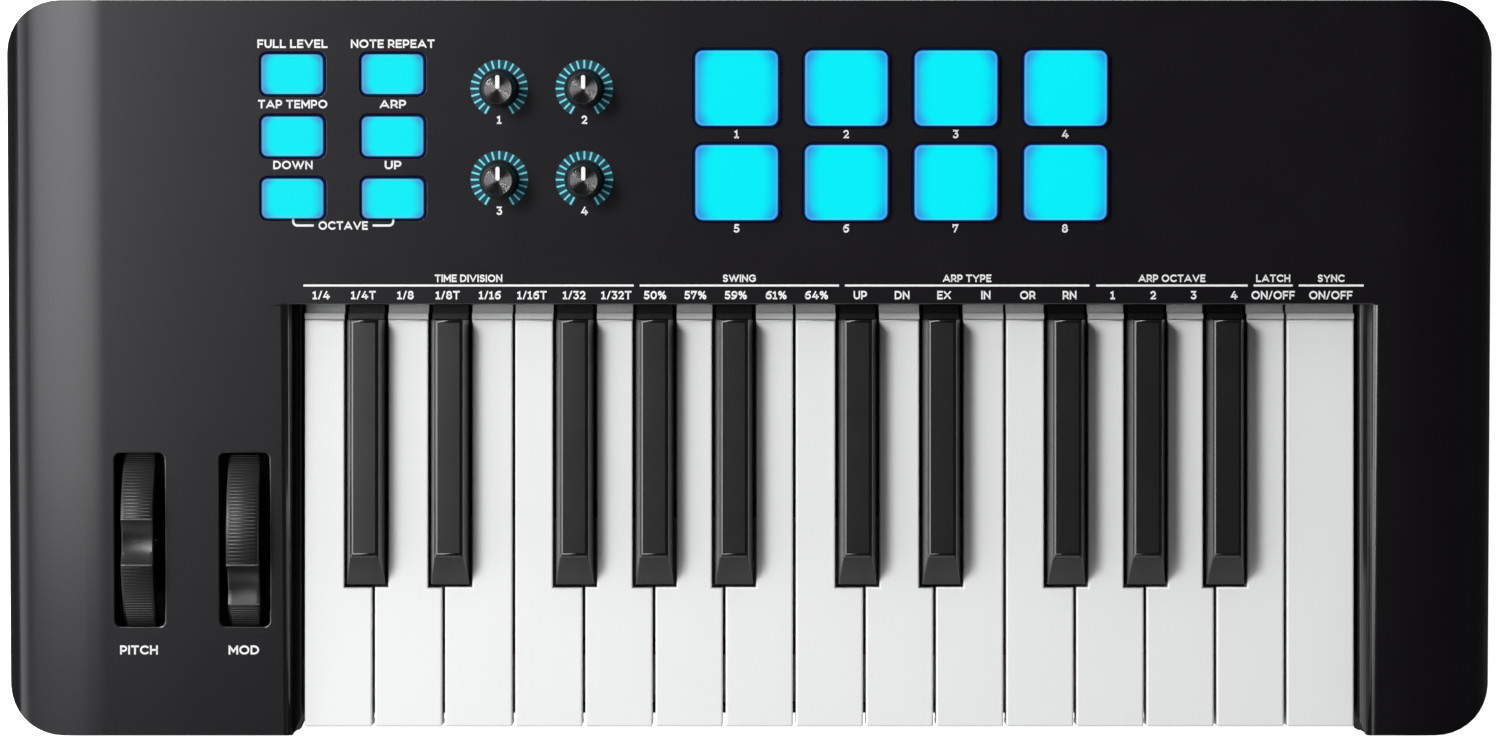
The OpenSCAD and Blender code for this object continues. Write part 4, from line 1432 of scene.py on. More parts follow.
class WheelKind(Enum):
    """The two wheels, by their CAD node."""

    PITCH = "pitch_wheel"
    MOD = "mod_wheel"


@dataclass
class Wheels:
    """Pitch and modulation wheels with a ribbed rim and a smooth thumb notch."""

    bench: Bench
    radius: float = 33.0
    width: float = 10.7
    rim: float = 5.0
    rib_height: float = 0.3
    rib_pitch: float = 1.2
    rib_margin: float = 0.7
    rib_start: float = 14.9
    rib_end: float = 0.8
    sunk: float = 0.02
    notch_steps: int = 40
    lip_steps: int = 8
    notch_radius: float = 9.5
    notch_depth: float = 4.5
    notch_half: float = 13.0
    lip_width: float = 1.1
    notch_dish: float = 0.35
    web: float = 4.0
    hub_radius: float = 6.0
    axle_radius: float = 2.0
    axle_length: float = 24.7
    edge: float = 0.5
    slice_angle: float = 2.0

    def build(self) -> None:
        """Makes both wheels."""
        for kind in WheelKind:
            self._wheel(kind)

    def _place(self, node: str) -> Matrix:
        """The wheel's axes: X along the axle and Z towards the crown."""
        joint = self.bench.joints[node + "_turn"]
        return Matrix.Translation(Vector(joint["pos_m"])) @ Matrix.Rotation(self.bench.panel.slope, 4, "X")

    def _reach(self, node: str, place: Matrix) -> tuple[float, float]:
        """First and last angle of the rim, counted from the crown towards the player, in degrees.

        Args:
            node: the CAD node.
            place: its axes.

        Returns:
            Both angles.
        """
        inverse = place.inverted()
        angles = []
        for point in self.bench.corners(node):
            spot = inverse @ (point * MM) / MM
            if math.hypot(spot.y, spot.z) > self.radius - 0.1:
                angles.append(math.degrees(math.atan2(-spot.y, spot.z)))
        return min(angles), max(angles)

    def _outer(self, angle: float, notch: float) -> float:
        """Radius of the rim at an angle, in degrees, less the ribs.

        Args:
            angle: the angle, counted from the crown.
            notch: the angle of the notch's middle.

        Returns:
            The radius, in mm.
        """
        smooth = self.radius - self.rib_height
        away = abs(angle - notch)
        if away > self.notch_half:
            lip = (away - self.notch_half) / self.lip_width
            if lip >= 1:
                return smooth
            return smooth + (self.rib_height - self.sunk) * math.sqrt(max(0.0, 1 - (2 * lip - 1) ** 2))
        centre = self.radius + self.notch_radius - self.notch_depth
        turn = math.radians(away)
        return min(smooth, centre * math.cos(turn)
                   - math.sqrt(self.notch_radius ** 2 - (centre * math.sin(turn)) ** 2))

    def _wheel(self, kind: WheelKind) -> None:
        """One wheel: rim with its notch, ribs, web, hub and axle.

        Args:
            kind: which wheel.
        """
        node = kind.value
        place = self._place(node)
        first, last = self._reach(node, place)
        notch = (first + last) / 2
        self._rim(node, place, first, last, notch)
        self._ribs(node, place, first, last, notch)
        self._core(node, place, first, last)

    def _section(self, angle: float, inner: float, outer: float, half: float, edge: float,
                 dish: float = 0.0) -> list[Point]:
        """Closed outline across the rim at an angle, its face dished by `dish` in the middle.

        Args:
            angle: the angle, counted from the crown, in degrees.
            inner: its inner radius.
            outer: its outer radius.
            half: half its width.
            edge: how far its edges are cut.
            dish: depth of the dish.

        Returns:
            The outline.
        """
        flat = half - edge
        face = [(outer - dish * (1 - (i / 5) ** 2), flat * i / 5) for i in range(-5, 6)]
        across = [(inner, -half), (outer - edge, -half), (outer - edge * 0.3, -half + edge * 0.3), *face,
                  (outer - edge * 0.3, half - edge * 0.3), (outer - edge, half), (inner, half)]
        s, c = math.sin(math.radians(angle)), math.cos(math.radians(angle))
        return [(x, -r * s, r * c) for r, x in across]

    def _rim(self, node: str, place: Matrix, first: float, last: float, notch: float) -> None:
        """Rim with the notch cut into it, and a painted highlight on the beads at the notch's edges.

        Args:
            node: the wheel's CAD node.
            place: its axes.
            first: the first angle of the rim, in degrees.
            last: the last one.
            notch: the angle of the notch's middle.
        """
        count = round((last - first) / self.slice_angle)
        angles = {first + (last - first) * i / count for i in range(count + 1)}
        angles |= {notch - self.notch_half + 2 * self.notch_half * i / self.notch_steps
                   for i in range(self.notch_steps + 1)}
        angles |= {notch + side * (self.notch_half + self.lip_width * i / self.lip_steps)
                   for side in (-1, 1) for i in range(self.lip_steps + 1)}
        angles = {a for a in angles if abs(abs(a - notch) - self.notch_half - self.lip_width / 2) < 0.6
                  or abs(a - notch) < self.notch_half + 0.01 or abs(a - notch) > self.notch_half + 1.5}
        rings = []
        for angle in sorted(angles):
            share = max(0.0, 1 - (abs(angle - notch) / self.notch_half) ** 2)
            rings.append(self._section(angle, self.radius - self.rim, self._outer(angle, notch),
                                       self.width / 2, self.edge, self.notch_dish * share))
        mesh = Shape().skin(rings).mesh(node + "_rim", place, 25.0)
        piece = self.bench.add(node + "_rim", mesh, "wheel", node, "wheel_plastic", [node])
        mesh.materials.append(self.bench.palette.notch)
        mesh.materials.append(self.bench.palette.lip)
        inverse = place.inverted()
        for face in mesh.polygons:
            spot = inverse @ face.center / MM
            angle = math.degrees(math.atan2(-spot.y, spot.z))
            away, on_face = abs(angle - notch), math.hypot(spot.y, spot.z) > self.radius - self.rim + 0.1
            # Faces of the notch's beads take the lip finish, whose light grey is a painted highlight.
            if on_face and away < self.notch_half + self.lip_width:
                face.material_index = 1 if away < self.notch_half else 2
        log.info("%s notch at %.0f degrees", piece.name, notch)

    def _ribs(self, node: str, place: Matrix, first: float, last: float, notch: float) -> None:
        """Ribs across the rim on both sides of the notch.

        Args:
            node: the wheel's CAD node.
            place: its axes.
            first: the first angle of the rim, in degrees.
            last: the last one.
            notch: the angle of the notch's middle.
        """
        half = self.width / 2 - self.rib_margin
        size = self.rib_pitch * 0.36
        rings = [[(share * size * math.cos(a), share * (self.rib_height - self.sunk) * math.sin(a), z)
                  for a in (math.radians(d) for d in (0, 40, 90, 140, 180, 270))]
                 for z, share in ((-half, 0.5), (-half + 0.2, 1.0), (half - 0.2, 1.0), (half, 0.5))]
        rear = (first + self.rib_end, notch - self.rib_start, "rear")
        front = (notch + self.rib_start, last - self.rib_end, "front")
        for start, end, name in (rear, front):
            seed = Shape().skin(rings)
            count = max(2, round(math.radians(end - start) * self.radius / self.rib_pitch))
            values = {"Count": count, "Radius": (self.radius - self.rib_height) * MM,
                      "First Angle": math.radians(start), "Last Angle": math.radians(end),
                      "Finish": self.bench.palette.wheel}
            mesh = self.bench.on_arc.grow(seed.mesh("rib", Matrix.Identity(4)), values)
            mesh.transform(place @ self._upright())
            self.bench.add(f"{node}_ribs_{name}", mesh, "wheel", node, "wheel_plastic")

    @staticmethod
    def _upright() -> Matrix:
        """Turns an arc about Z, clockwise from +Y, into one about X that runs from +Z towards the player."""
        return Matrix(((0, 0, -1, 0), (-1, 0, 0, 0), (0, 1, 0, 0), (0, 0, 0, 1)))

    def _core(self, node: str, place: Matrix, first: float, last: float) -> None:
        """Web, hub and axle.

        Args:
            node: the wheel's CAD node.
            place: its axes.
            first: the first angle of the rim, in degrees.
            last: the last one.
        """
        count = round((last - first) / 6)
        rings = [self._section(first + (last - first) * i / count, self.hub_radius - 1,
                               self.radius - self.rim + 0.2, self.web / 2, 0.1) for i in range(count + 1)]
        shape = Shape()
        for radius, half in ((self.hub_radius, self.width / 2), (self.axle_radius, self.axle_length / 2)):
            shape.lathe([(radius - 0.3, -half), (radius, -half + 0.3), (radius, half - 0.3),
                         (radius - 0.3, half)], 40)
        shape.moved(Matrix.Rotation(math.radians(90), 4, "Y")).skin(rings)
        self.bench.add(node + "_core", shape.mesh(node + "_core", place), "wheel", node, "wheel_plastic")


# ---------- printing ----------


def arc(x: float, y: float, across: float, up: float, start: float, end: float) -> list[Spot]:
    """Points along part of an ellipse about x and y, between two angles in degrees.

    Args:
        x: its centre.
        y: its centre.
        across: its radius along x.
        up: its radius along y.
        start: the first angle.
        end: the last angle.

    Returns:
        The points.
    """
    count = max(3, round(abs(end - start) / 18))
    turns = [math.radians(start + (end - start) * i / count) for i in range(count + 1)]
    return [(x + across * math.cos(t), y + up * math.sin(t)) for t in turns]


class Lettering:
    """Wide geometric capitals, figures and signs, as strokes in a box of height 1."""

    FORMS: dict[str, tuple[float, list[list[Spot]]]] = {
        "A": (0.92, [[(0, 0), (0.46, 1)], [(0.46, 1), (0.92, 0)], [(0.2, 0.26), (0.72, 0.26)]]),
        "C": (0.84, [arc(0.48, 0.5, 0.48, 0.5, 48, 312)]),
        "D": (0.78, [[(0.28, 0), (0, 0), (0, 1)] + arc(0.28, 0.5, 0.5, 0.5, 90, -90)]),
        "E": (0.58, [[(0.58, 1), (0, 1), (0, 0), (0.58, 0)], [(0, 0.5), (0.5, 0.5)]]),
        "F": (0.56, [[(0.56, 1), (0, 1), (0, 0)], [(0, 0.46), (0.48, 0.46)]]),
        "G": (0.88, [arc(0.48, 0.5, 0.48, 0.5, 48, 318) + [(0.86, 0.2), (0.86, 0.48), (0.6, 0.48)]]),
        "H": (0.72, [[(0, 0), (0, 1)], [(0.72, 0), (0.72, 1)], [(0, 0.5), (0.72, 0.5)]]),
        "I": (0.0, [[(0, 0), (0, 1)]]),
        "L": (0.55, [[(0, 1), (0, 0), (0.55, 0)]]),
        "M": (0.9, [[(0, 0), (0, 1)], [(0.9, 0), (0.9, 1)], [(0.04, 1), (0.45, 0.28), (0.86, 1)]]),
        "N": (0.74, [[(0, 0), (0, 1)], [(0.74, 0), (0.74, 1)], [(0.03, 1), (0.71, 0)]]),
        "O": (0.96, [arc(0.48, 0.5, 0.48, 0.5, 0, 360)]),
        "P": (0.62, [[(0, 0), (0, 1)] + arc(0.33, 0.68, 0.29, 0.32, 90, -90) + [(0, 0.36)]]),
        "R": (0.64, [[(0, 0), (0, 1)] + arc(0.33, 0.68, 0.29, 0.32, 90, -90) + [(0, 0.36)],
                     [(0.36, 0.36), (0.64, 0)]]),
        "S": (0.6, [arc(0.3, 0.75, 0.27, 0.25, 30, 270) + arc(0.3, 0.25, 0.3, 0.25, 85, -148)]),
        "T": (0.7, [[(0, 1), (0.7, 1)], [(0.35, 1), (0.35, 0)]]),
        "U": (0.7, [[(0, 1)] + arc(0.35, 0.36, 0.35, 0.36, 180, 360) + [(0.7, 1)]]),
        "V": (0.88, [[(0, 1), (0.44, 0)], [(0.44, 0), (0.88, 1)]]),
        "W": (1.36, [[(0, 1), (0.36, 0)], [(0.36, 0), (0.68, 1)], [(0.68, 1), (1, 0)], [(1, 0), (1.36, 1)]]),
        "X": (0.76, [[(0, 0), (0.76, 1)], [(0, 1), (0.76, 0)]]),
        "Y": (0.8, [[(0, 1), (0.4, 0.42)], [(0.8, 1), (0.4, 0.42)], [(0.4, 0.45), (0.4, 0)]]),
        "0": (0.68, [arc(0.34, 0.5, 0.34, 0.5, 0, 360)]),
        "1": (0.42, [[(0, 0.84), (0.22, 1), (0.22, 0)], [(0, 0), (0.42, 0)]]),
        "2": (0.58, [arc(0.28, 0.69, 0.28, 0.31, 155, -38) + [(0.04, 0), (0.58, 0)]]),
        "3": (0.58, [[(0.03, 1), (0.54, 1), (0.27, 0.6)] + arc(0.27, 0.3, 0.31, 0.3, 80, -142)]),
        "4": (0.74, [[(0.4, 1), (0.02, 0.25), (0.74, 0.25)], [(0.54, 0.5), (0.54, 0)]]),
        "5": (0.58, [[(0.53, 1), (0.1, 1), (0.06, 0.58)] + arc(0.26, 0.3, 0.32, 0.3, 85, -142)]),
        "6": (0.64, [arc(0.32, 0.31, 0.32, 0.31, 0, 360), arc(0.5, 0.36, 0.5, 0.64, 75, 190)]),
        "7": (0.62, [[(0, 0.76), (0, 1), (0.6, 1), (0.2, 0)]]),
        "8": (0.64, [arc(0.32, 0.76, 0.26, 0.24, 0, 360), arc(0.32, 0.26, 0.32, 0.26, 0, 360)]),
        "9": (0.64, [arc(0.32, 0.69, 0.32, 0.31, 0, 360), arc(0.14, 0.64, 0.5, 0.64, -105, 10)]),
        "%": (0.96, [arc(0.17, 0.78, 0.17, 0.22, 0, 360), arc(0.79, 0.22, 0.17, 0.22, 0, 360),
                     [(0.2, 0), (0.76, 1)]]),
        "/": (0.34, [[(0, -0.1), (0.34, 1.1)]]),
    }
    STROKE = 0.21
    GAP = 0.13
    SPACE = 0.4
    SQUEEZE = 0.84

    @classmethod
    def write(cls, text: str, height: float, width: float, heights: tuple[float, float]) -> Shape:
        """Sets a word.

        Args:
            text: its letters.
            height: height of its capitals, in mm.
            width: full width that it is set to, or 0 for its own.
            heights: height of the ink's lower and upper side, in mm.

        Returns:
            The word, centred on its own axes.
        """
        pen, strokes = 0.0, []
        for letter in text:
            if letter == " ":
                pen += cls.SPACE
                continue
            wide, form = cls.FORMS[letter]
            for path in form:
                strokes.append([(pen + cls.STROKE / 2 + x, y * (1 - cls.STROKE) + cls.STROKE / 2)
                                for x, y in path])
            pen += wide + cls.STROKE + cls.GAP
        pen -= cls.GAP
        shape = Shape()
        for path in strokes:
            shape.stroke(path, cls.STROKE, heights, cls.STROKE / 2, (0.0, 1.0))
        across = width / pen if width else height * cls.SQUEEZE
        size = Matrix.Diagonal((across, height, 1.0, 1.0))
        return shape.moved(size @ Matrix.Translation((-pen / 2, -0.5, 0.0)))


@dataclass(frozen=True)
class LegendGroup:
    """A heading over a line, with the values that stand under it above the keys."""

    heading: str
    values: tuple[str, ...]
    start: float
    end: float
    first: float
    step: float = 0.0


@dataclass
class Printing:
    """White legends on the panel."""

    bench: Bench
    thickness: float = 0.03
    big: float = 2.85
    small: float = 2.55
    value_y: float = 24.55
    heading_y: float = 30.15
    line_y: float = 27.75
    line_width: float = 0.7
    sunk: float = 0.05
    pad_drop: float = 15.1
    knob_drop: float = 10.3
    wheel_shift: Spot = (-0.4, -37.9)
    wheel_size: float = 3.05
    octave_drop: float = 8.9
    octave_width: float = 16.4
    bracket_rise: float = 2.4
    bracket_gap: float = 9.8
    bracket_radius: float = 1.4
    bracket_width: float = 0.75
    groups: tuple[LegendGroup, ...] = (
        LegendGroup("TIME DIVISION", ("1/4", "1/4T", "1/8", "1/8T", "1/16", "1/16T", "1/32", "1/32T"),
                    -148.4, -38.5, -142.5, 14.03),
        LegendGroup("SWING", ("50%", "57%", "59%", "61%", "64%"), -36.5, 29.8, -31.4, 13.43),
        LegendGroup("ARP TYPE", ("UP", "DN", "EX", "IN", "OR", "RN"), 31.8, 113.1, 36.9, 13.93),
        LegendGroup("ARP OCTAVE", ("1", "2", "3", "4"), 115.4, 165.8, 120.9, 13.46),
        LegendGroup("LATCH", ("ON/OFF",), 167.8, 180.8, 174.3),
        LegendGroup("SYNC", ("ON/OFF",), 182.8, 204.4, 193.5))

    def build(self) -> None:
        """Prints everything."""
        self._above_keys()
        self._by_buttons()
        self._numbers()
        self._by_wheels()

    def word(self, name: str, text: str, x: float, y: float, height: float, width: float = 0.0) -> None:
        """Prints one word, centred at x and y on the panel.

        Args:
            name: what the piece is called.
            text: the letters.
            x: middle of the word, in mm.
            y: middle of its capitals, in mm.
            height: height of its capitals, in mm.
            width: full width that it is set to, or 0 for the usual letter width.
        """
        shape = Lettering.write(text, height, width, (-self.sunk, self.thickness))
        self._print(name, shape, x, y)

    def line(self, name: str, points: Sequence[tuple[float, float]], width: float) -> None:
        """Prints a line of even width through points on the panel, in mm.

        Args:
            name: what the piece is called.
            points: the points of its middle.
            width: its width.
        """
        x0, y0 = points[0]
        shape = Shape().stroke([(x - x0, y - y0) for x, y in points], width, (-self.sunk, self.thickness))
        self._print(name, shape, x0, y0)

    def _print(self, name: str, shape: Shape, x: float, y: float) -> None:
        """Lays ink on the panel at x and y."""
        mesh = shape.mesh("legend_" + name, self.bench.panel.place(x, y), 20.0)
        self.bench.add("legend_" + name, mesh, "legend", "case", "case_plastic")

    def _above_keys(self) -> None:
        """Headings, lines and values over the keys."""
        for group in self.groups:
            plain = group.heading.lower().replace(" ", "_")
            self.word(plain, group.heading, (group.start + group.end) / 2, self.heading_y, self.small)
            ends = ((group.start, self.line_y), (group.end, self.line_y))
            self.line(plain + "_line", ends, self.line_width)
            for i, value in enumerate(group.values):
                self.word(f"{plain}_{i + 1}", value, group.first + i * group.step, self.value_y, self.big)

    def _by_buttons(self) -> None:
        """Names over the buttons, and the octave bracket under the last two."""
        names = {"full_level": ("FULL LEVEL", 23.3, 10.2), "note_repeat": ("NOTE REPEAT", 27.8, 10.2),
                 "tap_tempo": ("TAP TEMPO", 23.0, 10.8), "arp": ("ARP", 8.8, 10.8),
                 "octave_down": ("DOWN", 13.1, 11.2), "octave_up": ("UP", 5.6, 11.2)}
        for node, (text, width, rise) in names.items():
            middle, _ = self.bench.crown("button_" + node)
            self.word(node, text, middle.x, middle.y + rise, self.big, width)
        down, _ = self.bench.crown("button_octave_down")
        up, _ = self.bench.crown("button_octave_up")
        centre, y = (down.x + up.x) / 2, down.y - self.octave_drop
        self.word("octave", "OCTAVE", centre, y, self.big, self.octave_width)
        radius = self.bracket_radius
        for side, x, name in ((-1, down.x, "octave_left"), (1, up.x, "octave_right")):
            bend = []
            for angle in range(0, 91, 15):
                s, c = math.sin(math.radians(angle)), math.cos(math.radians(angle))
                bend.append((x - side * radius * (1 - c), y + radius * (1 - s)))
            path = [(x, y + self.bracket_rise), *bend, (centre + side * self.bracket_gap, y)]
            self.line(name, path, self.bracket_width)

    def _numbers(self) -> None:
        """Numbers under the pads and the knobs."""
        for i in range(1, 9):
            middle, _ = self.bench.crown(f"pad_{i}")
            self.word(f"pad_{i}", str(i), middle.x, middle.y - self.pad_drop, self.big)
        for i in range(1, 5):
            spot = self.bench.pivot(f"knob_{i}_turn")
            self.word(f"knob_{i}", str(i), spot.x, spot.y - self.knob_drop, self.big)

    def _by_wheels(self) -> None:
        """Names in front of the wheels."""
        for kind, text, width in ((WheelKind.PITCH, "PITCH", 12.6), (WheelKind.MOD, "MOD", 10.2)):
            spot = self.bench.pivot(kind.value + "_turn")
            x, y = (spot[i] + self.wheel_shift[i] for i in range(2))
            self.word(text.lower(), text, x, y, self.wheel_size, width)


# ---------- inside ----------


@dataclass(frozen=True)
class ScrewKind:
    """What screws of one kind share: shank and head radius, head height, length, and their direction."""

    shank: float
    head: float
    head_height: float
    length: float
    tilted: bool
    down: bool


@dataclass
class Inside:
    """Key action, fasteners and electronics, which show when the case is opened."""

    bench: Bench
    wire: float = 0.3
    coil_turns: float = 5.5
    turn_pitch: float = 2.2
    touch: float = 0.02
    spring_arm: float = 12.0
    # A cross recess: its reach, half width and depth, as shares of the head's radius.
    cross: Point = (0.55, 0.17, 0.45)
    cross_taper: float = 0.6
    # A head: share of its radius, and share of its dome's height.
    dome_height: float = 0.25
    dome: tuple[Spot, ...] = ((0.72, 0.0), (0.92, 0.4), (1.0, 1.0))
    tip: float = 0.35

    def build(self) -> None:
        """Makes the springs and screws, and dresses every other inner piece."""
        # The wheel bracket's finish is black plastic with painted shade for the wheel slots.
        for node, finish in {"wheel_bracket": "bracket", "key_frame": "frame", "key_pivot_rod": "steel",
                             "key_felts": "felt", "contact_board": "board", "contact_rubber": "dome",
                             "circuit_boards": "board", "potentiometers": "pot"}.items():
            self.bench.dress(node, finish)
        self._springs()
        self._screws()

    def _springs(self) -> None:
        """A coil under each key's tail, and one round the pitch wheel's axle."""
        tails = {}
        for node in [f"white_key_{i}" for i in range(1, 16)] + [f"black_key_{i}" for i in range(1, 11)]:
            points = self.bench.corners(node)
            end = max(p.y for p in points)
            across = [p.x for p in points if p.y > end - 0.2]
            tails[node] = (min(across) + max(across)) / 2
        for points in self.bench.solids("return_springs"):
            low, high = span(points)
            size, middle = high - low, (low + high) / 2
            if size.z > size.x * 1.5 or abs(size.x - size.y) < 0.3:
                node = min(tails, key=lambda name: abs(tails[name] - middle.x))
                foot = Vector((middle.x, middle.y, low.z))
                self._key_spring(node, foot, size.x / 2, size.z)
            else:
                self._wheel_spring(Vector((low.x, middle.y, middle.z)), size.y / 2, size.x)

    def _coil(self, name: str, radius: float, height: float, turns: float) -> bpy.types.Mesh:
        """A coil that stands on its own axes.

        Args:
            name: what the mesh is called.
            radius: its outer radius, in mm.
            height: its height, in mm.
            turns: how often it winds.

        Returns:
            Its mesh.
        """
        values = {"Turns": turns, "Radius": (radius - self.wire) * MM, "Height": height * MM,
                  "Wire": self.wire * MM, "Finish": self.bench.palette.steel}
        mesh = self.bench.coil.grow(bpy.data.meshes.new(name), values, 60.0)
        mesh.name = name
        return mesh

    def _key_spring(self, node: str, foot: Vector, radius: float, height: float) -> None:
        """The spring under one key, which rides on the case.

        Args:
            node: the key's CAD node.
            foot: where its axis meets the frame, in mm.
            radius: its outer radius.
            height: its height.
        """
        mesh = self._coil(node + "_spring", radius, height, self.coil_turns)
        mesh.transform(Matrix.Translation(foot * MM))
        piece = self.bench.add(node + "_spring", mesh, "steel", "case", "steel", ["return_springs"])
        joint = self.bench.joints[node + "_press"]
        drop = self.spring_arm * math.sin(math.radians(joint["range_deg"][1])) + self.touch
        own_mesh(piece)

    def _wheel_spring(self, foot: Vector, radius: float, length: float) -> None:
        """The centring spring, which lies along the axle.

        Args:
            foot: the middle of its left end, in mm.
            radius: its outer radius.
            length: its length.
        """
        mesh = self._coil("pitch_centring_spring", radius, length, length / self.turn_pitch)
        mesh.transform(Matrix.Translation(foot * MM) @ Matrix.Rotation(math.radians(90), 4, "Y"))
        self.bench.add("pitch_centring_spring", mesh, "steel", "case", "steel", ["return_springs"])

    def _screws(self) -> None:
        """Every screw, with a cross recess in its head."""
        groups: dict[ScrewKind, list[Vector]] = {}
        for points in self.bench.solids("case_screws"):
            kind, spot = self._measured(points)
            groups.setdefault(kind, []).append(spot)
        for number, (kind, spots) in enumerate(groups.items(), 1):
            seed = linked("screw_seed", self._screw(kind))
            places = bpy.data.meshes.new("screw_places")
            places.from_pydata([spot * MM for spot in spots], [], [])
            turn = (self.bench.panel.slope if kind.tilted else 0.0) + (math.pi if kind.down else 0.0)
            mesh = self.bench.on_spots.grow(places, {"Piece": seed, "Turn": (turn, 0.0, 0.0),
                                                     "Finish": self.bench.palette.steel})
            bpy.data.objects.remove(seed)
            self.bench.add(f"screws_{number}", mesh, "steel", "case", "steel", ["case_screws"])

    def _measured(self, points: Sequence[Vector]) -> tuple[ScrewKind, Vector]:
        """The kind of one screw in the CAD, and where the middle of its head's face is.

        Args:
            points: its vertices, in mm.

        Returns:
            Its kind, and the middle in mm.
        """
        best = None
        for tilted in (False, True):
            axis = self.bench.panel.normal if tilted else Vector((0.0, 0.0, 1.0))
            heights = [p.dot(axis) for p in points]
            middle = sum(points, Vector()) / len(points)
            radii = [(p - middle - axis * (p - middle).dot(axis)).length for p in points]
            if best is None or max(radii) < best[0] - 1e-3:
                best = (max(radii), tilted, axis, heights, radii, middle)
        head, tilted, axis, heights, radii, middle = best
        low, high = min(heights), max(heights)
        shank = min(r for r in radii if r > 0.3)
        wide = [h for h, r in zip(heights, radii) if r > head - 0.05]
        down = max(high - h for h in wide) < max(h - low for h in wide)
        depth = max(wide) - min(wide)
        end = high if down else low
        spot = middle + axis * (end - middle.dot(axis))
        kind = ScrewKind(round(shank, 2), round(head, 2), round(depth, 2), round(high - low, 2), tilted, down)
        return kind, spot

    def _screw(self, kind: ScrewKind) -> bpy.types.Mesh:
        """One screw whose head's face lies at the origin and whose shank points up.

        Args:
            kind: its sizes.

        Returns:
            Its mesh.
        """
        reach, half, deep = (share * kind.head for share in self.cross)
        arm = [(reach, -half), (reach, half), (half, half)]
        cross = []
        for turn in range(4):
            s, c = math.sin(math.tau * turn / 4), math.cos(math.tau * turn / 4)
            cross += [(x * c - y * s, x * s + y * c) for x, y in arm]
        fine = []
        for i, (x, y) in enumerate(cross):
            after = cross[(i + 1) % len(cross)]
            fine += [(x, y), ((x + after[0]) / 2, (y + after[1]) / 2)]
        rim = [math.atan2(y, x) for x, y in fine]
        height = self.dome_height * kind.head_height
        profile = [(kind.head * across, height * up) for across, up in self.dome]
        profile += [(kind.head, kind.head_height), (kind.shank, kind.head_height),
                    (kind.shank, kind.length - kind.shank), (kind.shank * self.tip, kind.length)]
        rings = [[(x * self.cross_taper, y * self.cross_taper, deep) for x, y in fine],
                 [(x, y, 0.0) for x, y in fine]]
        rings += [[(radius * math.cos(a), radius * math.sin(a), z) for a in rim] for radius, z in profile]
        return Shape().skin(rings).mesh("screw", Matrix.Identity(4), 30.0)


# ---------- studio ----------


@dataclass(frozen=True)
class SoftBox:
    """A rectangular lamp: where it stands, what it faces, its size in metres and its power in watts."""

    name: str
    spot: Point
    aim: Point
    size: tuple[float, float]
    power: float


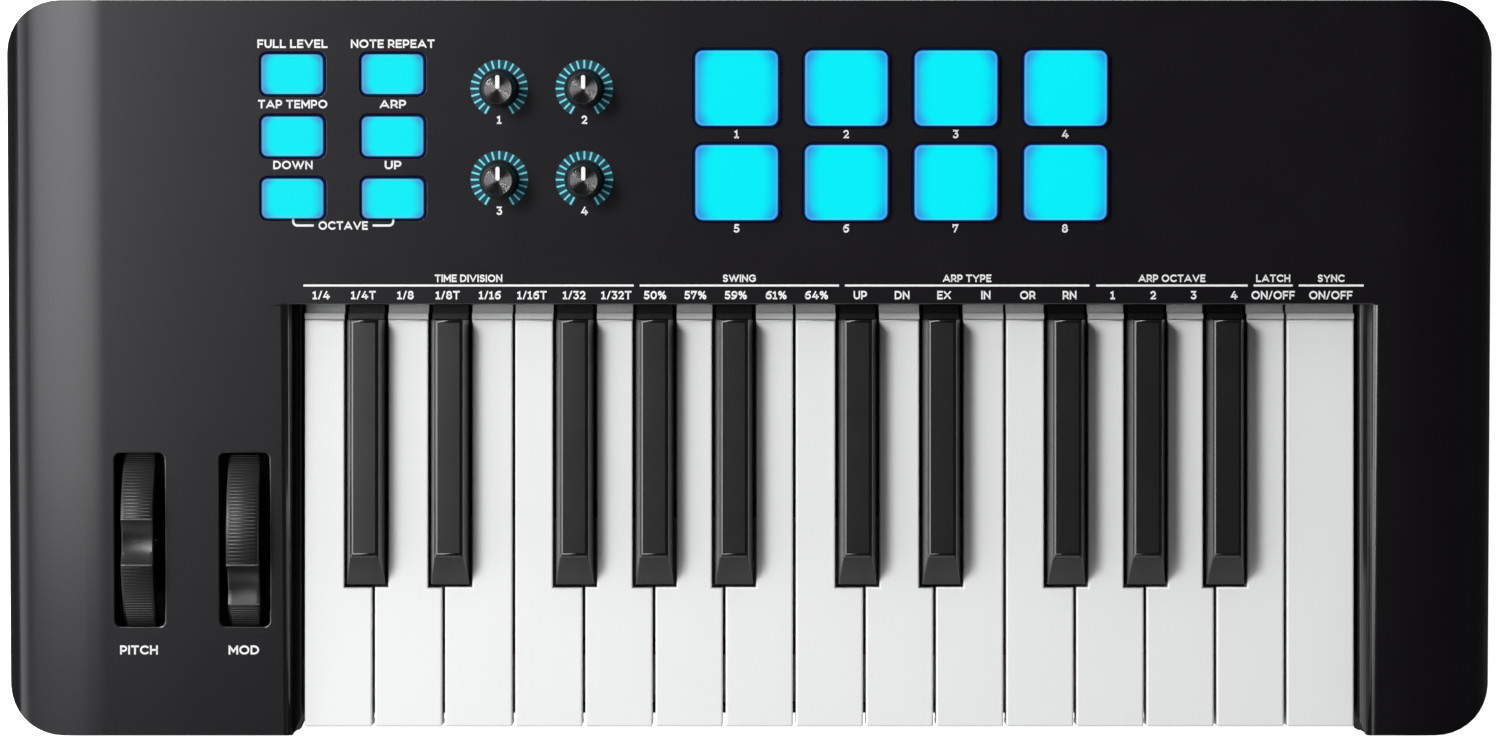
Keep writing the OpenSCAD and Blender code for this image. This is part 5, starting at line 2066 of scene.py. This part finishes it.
@dataclass
class Studio:
    """Camera, lamps, floor and sky."""

    bench: Bench
    camera_height: float = 2.14
    shown_width: float = 0.5025
    shown_height: float = 0.042
    sensor: float = 36.0
    sight: float = 20.0
    camera_shift: Spot = (0.0002, -0.0007)
    floor_size: float = 6.0
    # High on the left and behind, and a wider, weaker one that the left end mirrors.
    boxes: tuple[SoftBox, ...] = (
        SoftBox("key_left", (-0.7, 0.48, 1.28), (0.0, 0.0, 0.05), (0.38, 0.34), 15.0),
        SoftBox("sheen_left", (-0.79, -0.01, 1.22), (-0.79, -0.01, 0.0), (0.79, 0.42), 5.8))

    def build(self) -> None:
        """Sets the stage."""
        self._camera()
        for box in self.boxes:
            self._lamp(box)
        self._floor()
        self._sky()
        bpy.context.scene.view_settings.view_transform = "Standard"

    def _camera(self) -> None:
        """Camera straight above the middle of the case."""
        data = bpy.data.cameras.new("camera")
        data.sensor_width = self.sensor
        data.lens = self.sensor * (self.camera_height - self.shown_height) / self.shown_width
        data.clip_end = self.sight
        camera = linked("camera", data)
        camera.location = (*self.camera_shift, self.camera_height)
        bpy.context.scene.camera = camera

    @staticmethod
    def _lamp(box: SoftBox) -> None:
        """One soft box, which the camera doesn't see.

        Args:
            box: what it is like.
        """
        data = bpy.data.lights.new(box.name, "AREA")
        data.shape = "RECTANGLE"
        data.size, data.size_y = box.size
        data.energy = box.power
        lamp = linked(box.name, data)
        lamp.location = box.spot
        lamp.rotation_euler = (Vector(box.spot) - Vector(box.aim)).to_track_quat("Z", "Y").to_euler()
        lamp.visible_camera = False

    def _floor(self) -> None:
        """Pale floor that keeps the shadow."""
        mesh = bpy.data.meshes.new("floor")
        half = self.floor_size / 2
        mesh.from_pydata([(-half, -half, 0), (half, -half, 0), (half, half, 0), (-half, half, 0)], [],
                         [(0, 1, 2, 3)])
        floor = linked("floor", mesh)
        shader = Shader("floor_pale")
        path = shader.node("ShaderNodeLightPath")
        seen = Number(shader, path.outputs["Is Camera Ray"])
        paint = shader.node("ShaderNodeBsdfDiffuse", None, {"Color": (0.86, 0.86, 0.87)})
        glow = shader.node("ShaderNodeEmission", None, {"Color": WHITE, "Strength": seen * 0.95})
        both = shader.node("ShaderNodeAddShader", None, {0: paint.outputs[0], 1: glow.outputs[0]})
        dim = shader.node("ShaderNodeEmission", None, {"Color": WHITE, "Strength": 0.06})
        sight = shader.node("ShaderNodeMixShader", None,
                            {0: path.outputs["Is Glossy Ray"], 1: both.outputs[0], 2: dim.outputs[0]})
        shader.node("ShaderNodeOutputMaterial", None, {"Surface": sight.outputs[0]})
        mesh.materials.append(shader.material)

    @staticmethod
    def _sky() -> None:
        """Pale all round, dark overhead and on the right, with a bright left that only reflections see."""
        world = bpy.data.worlds.new("sky")
        world.use_nodes = True
        bpy.context.scene.world = world
        writer = NodeWriter(world.node_tree)
        way = writer.node("ShaderNodeTexCoord").outputs["Generated"]
        split = writer.node("ShaderNodeSeparateXYZ", None, {0: way})
        across, up = (Number(writer, split.outputs[key]) for key in ("X", "Z"))
        path = writer.node("ShaderNodeLightPath")
        glossy = Number(writer, path.outputs["Is Glossy Ray"])
        side = 1 - across.ramp(-0.5, 0.9) * (0.75 + glossy * 0.2)
        height = 1 - up.ramp(0.5, 0.85) * 0.96
        window = (1 - across.ramp(-0.85, -0.4)) * (1 - up.ramp(0.3, 0.6)) * glossy * 2
        strength = (side * height * (0.95 + window)).larger(Number(writer, path.outputs["Is Camera Ray"]))
        light = writer.node("ShaderNodeBackground", None, {"Color": WHITE, "Strength": strength})
        writer.node("ShaderNodeOutputWorld", None, {"Surface": light.outputs[0]})


def main() -> None:
    """Builds every sub-assembly and the studio."""
    logging.basicConfig(level=logging.INFO, format="%(message)s")
    bench = Bench(frame)
    for part in (Case(bench), Keys(bench), LitControls(bench), Knobs(bench), Wheels(bench), Printing(bench),
                 Inside(bench), Studio(bench)):
        part.build()
        log.info("%s done", type(part).__name__)


if __name__ == "__main__":
    main()
